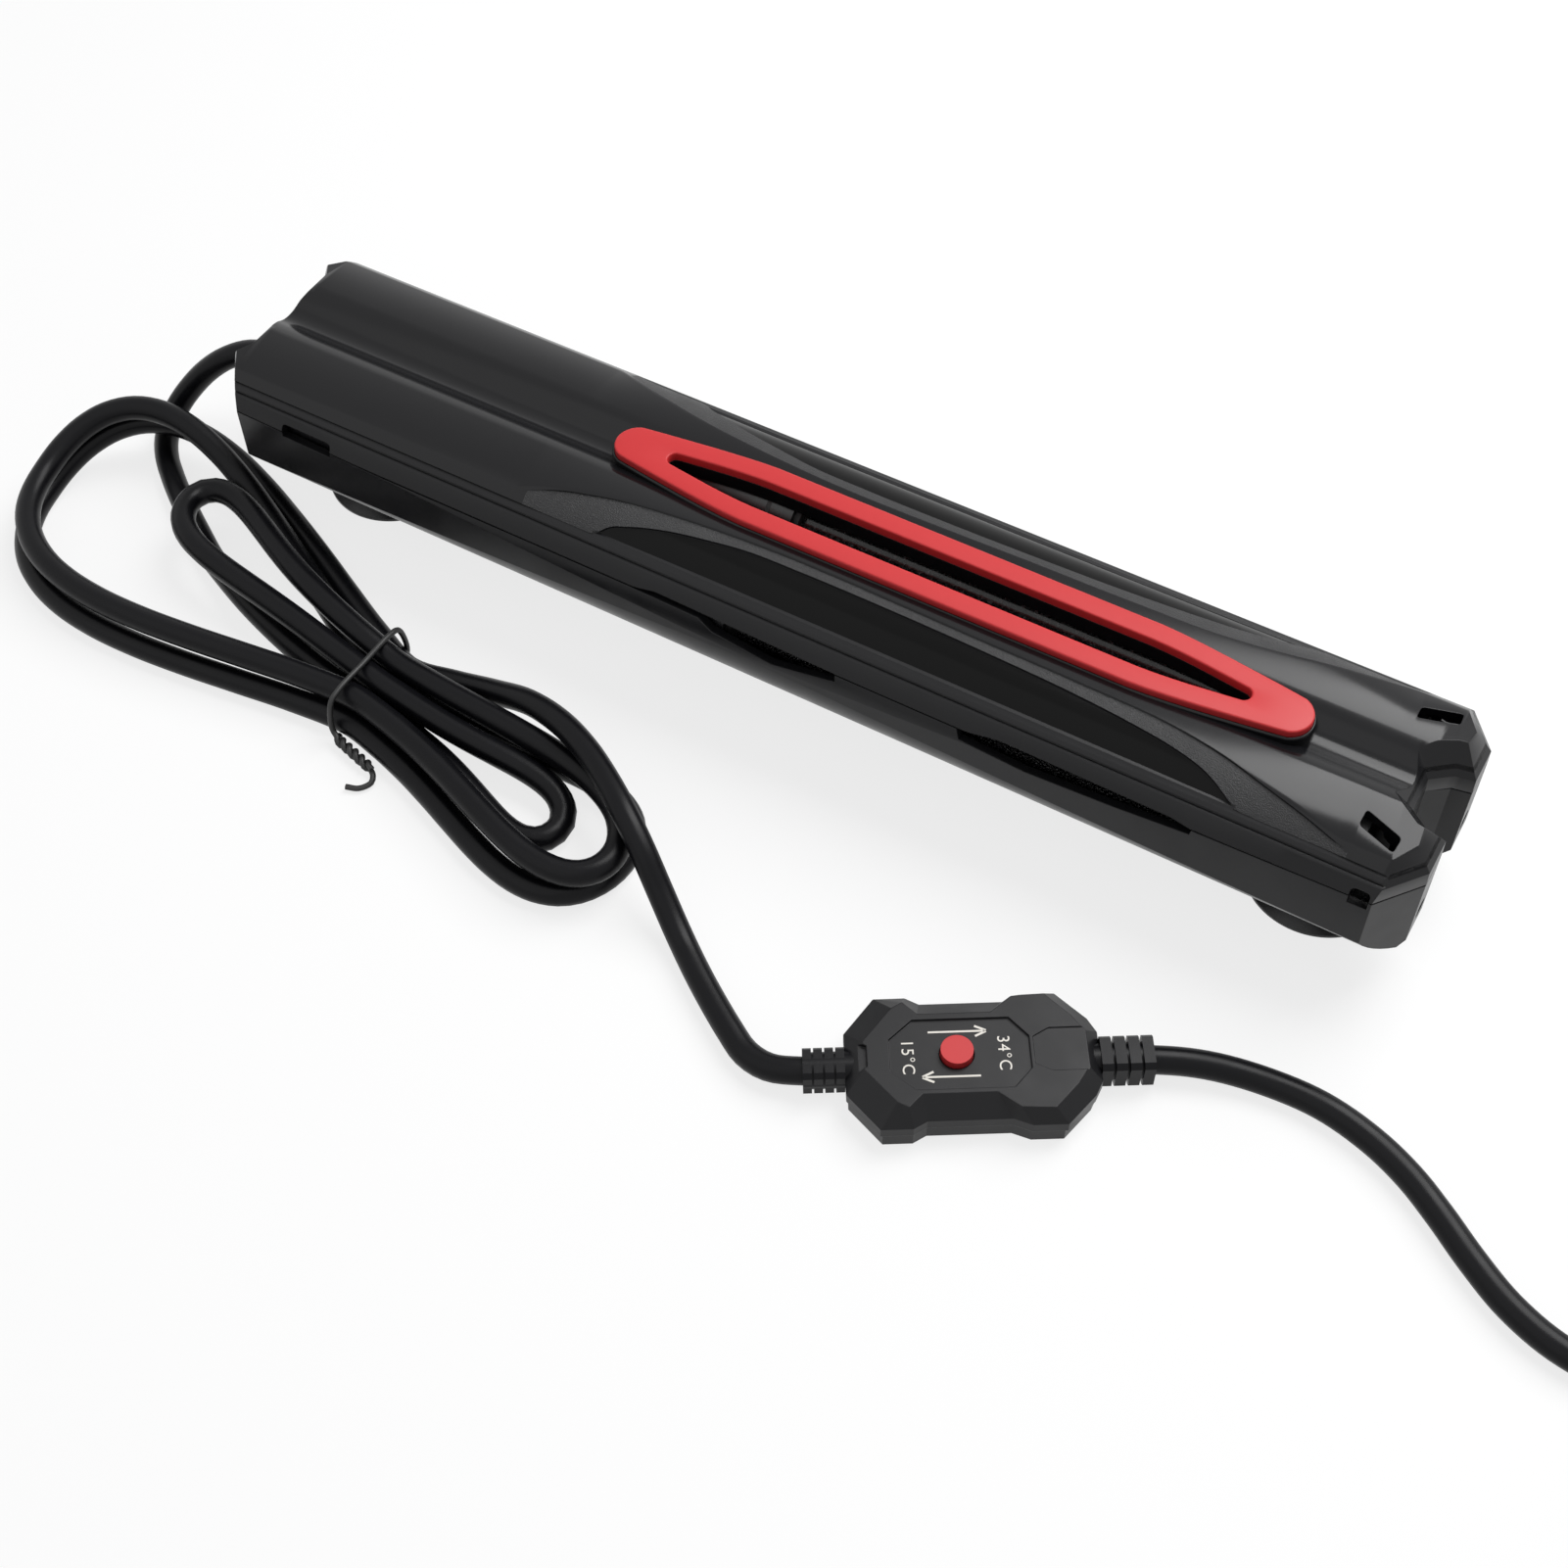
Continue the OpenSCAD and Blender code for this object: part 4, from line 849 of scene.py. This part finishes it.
def oval(kind, grow):
    """The outline of the accent ring or of its slot, grown outwards."""
    if kind == "ring":
        length, width, tip, taper = RING_L, RING_W, RING_W * 0.3, RING_TAPER
    else:
        length, width, tip, taper = SLOT_L, SLOT_W, SLOT_W * 0.23, RING_TAPER * 0.6
    reach, half, tip = length / 2 + grow, width / 2 + grow, tip + grow
    flat = reach - taper
    points = []
    for side, angles in ((1, range(75, -76, -15)), (-1, range(255, 104, -15))):
        points += [(flat * t, side * half) for t in np.linspace(-side, side, 9)]
        for a in np.radians(angles):
            points.append((side * (reach - tip) + tip * math.cos(a), tip * math.sin(a)))
    p = np.array(points) + (RING_X, 0)
    for _ in range(2):
        after = np.roll(p, -1, axis=0)
        p = np.stack([0.75 * p + 0.25 * after, 0.25 * p + 0.75 * after], 1).reshape(-1, 2)
    return [tuple(q) for q in p]


def stacked(name, profile, smooth_angle):
    """A closed ring of material from a profile of (ring or slot, grow, height)."""
    rings = [[(x, y, z) for x, y in oval(kind, grow)] for kind, grow, z in profile]
    return loft(name, rings, closed=True, smooth_angle=smooth_angle)


def add_ring():
    """The red ring with softened edges, and the black seat that fills the valley below it."""
    top, bottom = RING_TOP, RING_BOTTOM
    ring = stacked(
        "red_ring",
        [("ring", 0, bottom), ("ring", 0, top - 0.45), ("ring", -0.1, top - 0.18),
         ("ring", -0.28, top - 0.04), ("ring", -0.5, top), ("slot", 0.5, top),
         ("slot", 0.26, top - 0.04), ("slot", 0.09, top - 0.16), ("slot", 0, top - 0.4),
         ("slot", 0, bottom)],
        50,
    )  # fmt: skip
    place_piece(ring, "heater", "red_accent", ["accent_ring"])
    seat = stacked(
        "ring_seat",
        [("ring", 0.7, 39.5), ("ring", 0.7, 46.6), ("ring", 0.6, 47.1), ("ring", 0.35, 47.4),
         ("ring", 0.1, 47.4), ("ring", 0.1, 47.1), ("slot", 1.2, 46.9), ("slot", 0, 46.7),
         ("slot", 0, 42.9), ("slot", 1.3, 42.6), ("slot", 2.4, 42.6), ("slot", 2.4, 45.5)],
        50,
    )  # fmt: skip
    place_piece(seat, "heater", "gloss_shell")


FLANK_POINTS = 80


def guard_contour(z, inset, depth):
    """The guard's outline at a height; inset moves its flanks in and depth all of it."""
    inset += depth
    reach = LOBE_Y + math.sqrt(max(LOBE_R**2 - (z - LOBE_Z) ** 2, 0)) - inset

    def clip(line):
        """The end line up to the flank, in a fixed number of points."""
        points = []
        for (x0, y0), (x1, y1) in zip(line[:-1], line[1:]):
            for t in np.arange(0, 1, 0.25):
                points.append((x0 + (x1 - x0) * t, y0 + (y1 - y0) * t))
        points.append(tuple(line[-1]))
        p = np.array(points)
        limit = min(reach, half_width(HALF_L - 8) - inset)
        over = p[:, 1] > limit
        if over.any():
            k = int(np.argmax(over))
            t = (limit - p[k - 1, 1]) / (p[k, 1] - p[k - 1, 1])
            cross = p[k - 1] + (p[k] - p[k - 1]) * t
            p[k:] = cross
        return p

    left, right = end_slopes(z)
    a, b = clip(cord_end(left + depth)), clip(free_end(right + depth))
    x0, x1 = a[-1][0], b[-1][0]
    side = []
    for t in np.linspace(0, 1, FLANK_POINTS + 2)[1:-1]:
        x = x0 + (x1 - x0) * t
        side.append((x, min(reach, half_width(x) - inset)))
    return mirrored(np.vstack([a, side, b[::-1]]), z)


def add_middle_band():
    """The satin band between the cover and the lower shell, with the groove along it."""
    # Each row is a height, how far the flanks lie in there, and how far all of it does.
    profile = [(42.6, 0, 3), (42.6, 1.0, 0), (42.35, 0.95, 0), (42.2, 0.28, 0),
               (42.05, 0.14, 0), (41.35, 0.12, 0), (41.2, 0.25, 0), (41.1, 0.9, 0),
               (40.65, 0.9, 0), (40.55, 0.2, 0), (40.35, 0.06, 0), (36.45, 0.02, 0),
               (36.2, 0.05, 0.1), (36.08, 0.1, 0.4), (36.02, 0.2, 3)]  # fmt: skip
    rings = [guard_contour(*row) for row in profile]
    band = loft("middle_band", rings, closed=True, smooth_angle=30)
    cut_side_vents(band)
    place_piece(band, "heater", "satin_shell", ["middle_band_front", "middle_band_rear"])


# The vents in each flank, with heights over the parting line: outlines as (x, z), and boxes
# as (x0, x1, z0, z1).
LONG_VENTS = [
    [(-34, 0), (-26, 1.2), (22, 0.4), (22.5, -1.5), (6, -4.4), (-10, -2.5), (-14, -0.4)],
    [(53, 0), (63, 1.4), (104, 1), (109.3, 0.3), (109, -1.5), (91, -2.9), (70, -3.8),
     (54, -2.4)],
]  # fmt: skip
SHORT_VENTS = [(-135, -120, -1.2, 2.4), (144.4, 148.8, -2.2, 2.5)]


def cut_side_vents(piece):
    """Cuts the band's part of the vents through both flanks."""
    outlines = [round_corners([(x, PARTING_Z + z) for x, z in v], 0.8) for v in LONG_VENTS]
    for x0, x1, z0, z1 in SHORT_VENTS:
        box = [(x0, z0), (x1, z0), (x1, z1), (x0, z1)]
        outlines.append(round_corners([(x, PARTING_Z + z) for x, z in box], 1.3))
    for outline in outlines:
        for y0, y1 in ((-40, -15), (15, 40)):
            combine(piece, side_prism("vent", outline, y0, y1), 30)


# ---------------------------------------------------------------- controller and tie

# Half of the controller's outline at its widest, and of its flat top, from left to right, and
# the whole outline of its sunk panel, all as (along, across) from its middle.
CTRL_EDGE = [(-27.2, 7.4), (-20.4, 16), (-13.5, 16), (-10.5, 14.3), (7.5, 14.3), (11.5, 16),
             (19, 16), (25.4, 9.4), (27.2, 6)]  # fmt: skip
CTRL_FACE = [(-23.3, 3.4), (-16.8, 11.4), (-14.4, 12.8), (-11.3, 9.7), (4.3, 9.7), (9.0, 13.5),
             (16.2, 13.9), (21.4, 8.4), (24.0, 4.4)]  # fmt: skip
CTRL_PANEL = [(-17.8, 3.6), (-12.6, 8.3), (8.1, 8.3), (12.1, 3.6), (12.1, -4.2), (8.1, -8.7),
              (-12.6, -8.7), (-17.8, -4.2)]  # fmt: skip
# The pockets at the cover's ends: outline and depth.
CTRL_POCKETS = [
    ([(12.9, 3.4), (16.4, 5.4), (30, 5.4), (30, -5), (16.4, -5), (12.9, -3.2)], 0.35),
    ([(-30, 3.6), (-25.6, 3.6), (-22.6, 2.4), (-22.6, -2.8), (-25.6, -4), (-30, -4)], 1.1),
]


def soften(piece, width, angle=28):
    """Rounds a piece's sharp edges by width millimetres."""
    change = piece.modifiers.new("soft_edges", "BEVEL")
    change.width = width * MM
    change.segments = 2
    change.limit_method = "ANGLE"
    change.angle_limit = math.radians(angle)
    change.harden_normals = True


def soften_nodes():
    """Rounds the edges of the controller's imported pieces."""
    for name, width in (("controller_base", 0.25), ("relief_in", 0.25), ("relief_out", 0.25),
                        ("controller_button", 0.3)):  # fmt: skip
        soften(NODES[name], width)


def controller_ring(half, z):
    """A level contour of the controller from half of its outline."""
    both = list(half) + [(u, -v) for u, v in half[::-1]]
    return [at_controller(u, v, z) for u, v in both]


def add_controller_top():
    """The controller's faceted cover, with its sunk panel and the pockets at its ends."""
    shrunk = [(u * 0.985, v * 0.975) for u, v in CTRL_EDGE]
    top = loft(
        "controller_cover",
        [controller_ring(shrunk, CTRL_BASE_H), controller_ring(shrunk, CTRL_BASE_H + 0.45),
         controller_ring(CTRL_EDGE, CTRL_BASE_H + 0.5), controller_ring(CTRL_EDGE, 7.2),
         controller_ring(CTRL_FACE, CTRL_H)],
        capped=True, smooth_angle=20,
    )  # fmt: skip
    cuts = [(CTRL_PANEL, PANEL_Z)] + [(p, CTRL_H - d) for p, d in CTRL_POCKETS]
    for outline, floor in cuts:
        shape = [at_controller(u, v)[:2] for u, v in outline]
        combine(top, prism("pocket", shape, floor, CTRL_H + 5), 20)
    hole_r = BUTTON_R + 0.2
    turn = np.linspace(0, 2 * math.pi, 48, endpoint=False)
    shape = [at_controller(BUTTON_U + hole_r * math.cos(a), hole_r * math.sin(a))[:2]
             for a in turn]  # fmt: skip
    combine(top, prism("hole", shape, 7, CTRL_H + 5), 20)
    soften(top, 0.22, 20)
    return place_piece(top, "heater", "controller_shell", ["controller_top"])


def flat_print(name, outlines):
    """Thin printed shapes on the controller's panel, from outlines in its own plane."""
    points, faces = [], []
    for outline in outlines:
        start, n = len(points), len(outline)
        for z in (PANEL_Z - 0.05, PANEL_Z + 0.04):
            points += [at_controller(u, v, z) for u, v in outline]
        faces.append(tuple(range(start + n, start + 2 * n)))
        faces.append(tuple(range(start, start + n))[::-1])
        for i in range(n):
            a, b = start + i, start + (i + 1) % n
            faces.append((a, b, b + n, a + n))
    made = make_mesh(name, points, faces, 20)
    fix_normals(made, 20)
    return place_print(made)


def place_print(piece):
    """Makes a piece a part of the controller that is printed in white."""
    return place_piece(piece, "heater", "controller_shell", paint=MATERIALS["print_white"])


def bar(a, b, width):
    """The outline of a straight stroke from a to b."""
    a, b = np.array(a, float), np.array(b, float)
    d = (b - a) / np.linalg.norm(b - a)
    n = np.array([-d[1], d[0]]) * width / 2
    return [tuple(a - n), tuple(b - n), tuple(b + n), tuple(a + n)]


# The arrows as (name, tail, tip, place across), and the temperatures with their middles.
ARROWS = (("arrow_up", -9.3, 3.1, 5.4), ("arrow_down", 1.2, -11.1, -5.5))
WORDS = (("mark_high", "34°C", 6.5, -0.15), ("mark_low", "15°C", -14.0, -0.5))
WORD_SIZE, WORD_SPACING = 3.75, 1.12


def add_controller_marks():
    """The two arrows and the two temperatures that are printed round the button."""
    pieces = []
    for name, tail, tip, v in ARROWS:
        way = 1 if tip > tail else -1
        strokes = [bar((tail, v), (tip - way * 0.3, v), 0.45)]
        for side in (-1, 1):
            strokes.append(bar((tip - way * 2.4, v + side * 1.25), (tip, v + side * 0.1), 0.5))
        pieces.append(flat_print(name, strokes))
    for name, words, u, v in WORDS:
        pieces.append(place_print(flat_words(name, words, at_controller(u, v, PANEL_Z + 0.02))))
    return pieces


def flat_words(name, words, place):
    """Thin printed words that run across the controller, centred on a place."""
    text = bpy.data.curves.new(name, "FONT")
    text.body = words
    text.align_x, text.align_y = "CENTER", "CENTER"
    text.size = WORD_SIZE * MM
    text.space_character = WORD_SPACING
    text.extrude = 0.03 * MM
    source = bpy.data.objects.new(name + "_curve", text)
    bpy.context.scene.collection.objects.link(source)
    bpy.context.view_layer.update()
    shaped = source.evaluated_get(bpy.context.evaluated_depsgraph_get())
    mesh = bpy.data.meshes.new_from_object(shaped)
    bpy.data.objects.remove(source)
    turn = Matrix.Rotation(math.radians(CTRL_YAW - 90), 4, "Z")
    mesh.transform(Matrix.Translation(Vector(place) * MM) @ turn)
    mesh.materials.clear()
    return finish_mesh(name, mesh, 20)


# The tie's wire, and how its two ends are twisted together.
WIRE_R, WIRE_SIDES = 0.72, 10
TWIST_R, TWIST_TURNS = 0.78, 2.5


def wire_mesh(name, paths, radius):
    """Round wires along smooth paths, as one mesh with closed ends."""
    points, faces = [], []
    for path in paths:
        route = smooth_route(path, 0.7)
        along = np.gradient(route, axis=0)
        along /= np.linalg.norm(along, axis=1)[:, None]
        across = np.cross(along[0], (0.3, 0.2, 0.93))
        start = len(points)
        for p, t in zip(route, along):
            across = across - t * (across @ t)
            across /= np.linalg.norm(across)
            other = np.cross(t, across)
            for a in np.linspace(0, 2 * math.pi, WIRE_SIDES, endpoint=False):
                points.append(p + radius * (math.cos(a) * across + math.sin(a) * other))
        n = len(route)
        for i in range(n - 1):
            a = start + i * WIRE_SIDES
            b = a + WIRE_SIDES
            for j in range(WIRE_SIDES):
                k = (j + 1) % WIRE_SIDES
                faces.append((a + j, a + k, b + k, b + j))
        last = start + (n - 1) * WIRE_SIDES
        faces.append(tuple(range(start, start + WIRE_SIDES))[::-1])
        faces.append(tuple(range(last, last + WIRE_SIDES)))
    made = make_mesh(name, points, faces, 50)
    fix_normals(made, 50)
    return made


def add_twist_tie():
    """The plastic-coated wire round the hank's waist, twisted at the near side."""
    half, top = 10.5 + CORD_R + 1.1, HIGH + CORD_R + 1.1
    strand = [(-5.6, half - 0.5, 1.0), (-5.5, half, 2.8), (-5.3, half, 6.0),
              (-5.0, half - 1.8, top - 1.2), (-4.5, half - 5, top), (-3.2, 0, top),
              (-1.9, -half + 5, top), (-1.5, -half + 1.8, top - 1.2), (-1.1, -half - 0.1, 6.0),
              (-0.4, -half - 0.4, 3.8)]  # fmt: skip
    hook = [(15.2, -half - 3.2, 1.9), (15.9, -19.4, 1.3), (14.6, -22.2, 1.0),
            (11.8, -23.8, 1.0)]  # fmt: skip
    stub = [(-0.6, -half + 1.2, 0.9), (-0.2, -half, 1.2)]
    paths = []
    for phase, first, last in ((0.5, strand, hook), (-0.5, stub, [(14.0, -half - 2.2, 2.6)])):
        twist = []
        for t in np.linspace(0, 1, 22):
            a = math.pi * phase + 2 * math.pi * TWIST_TURNS * t
            twist.append((0.8 + 11.8 * t, -half - 0.7 - 1.2 * t + TWIST_R * math.cos(a),
                          2.4 - 0.4 * t + TWIST_R * math.sin(a)))  # fmt: skip
        paths.append([hank_point(*p) for p in first + twist + last])
    wire = wire_mesh("tie_wire", paths, WIRE_R)
    return place_piece(wire, "heater", "tie_plastic", ["twist_tie"])


# ---------------------------------------------------------------- the scene

add_camera()
add_studio()
MATERIALS = make_materials()

for row in frame["record"]["subparts"]:
    node = NODES[row["node"]]
    node.data.materials.clear()
    node.data.materials.append(MATERIALS[row["material_slot"]])

soften_nodes()
to_controller, to_plug = add_cords()
fitted = [add_controller_top(), *add_controller_marks(), add_twist_tie()]

add_cover()
add_ring()
add_middle_band()
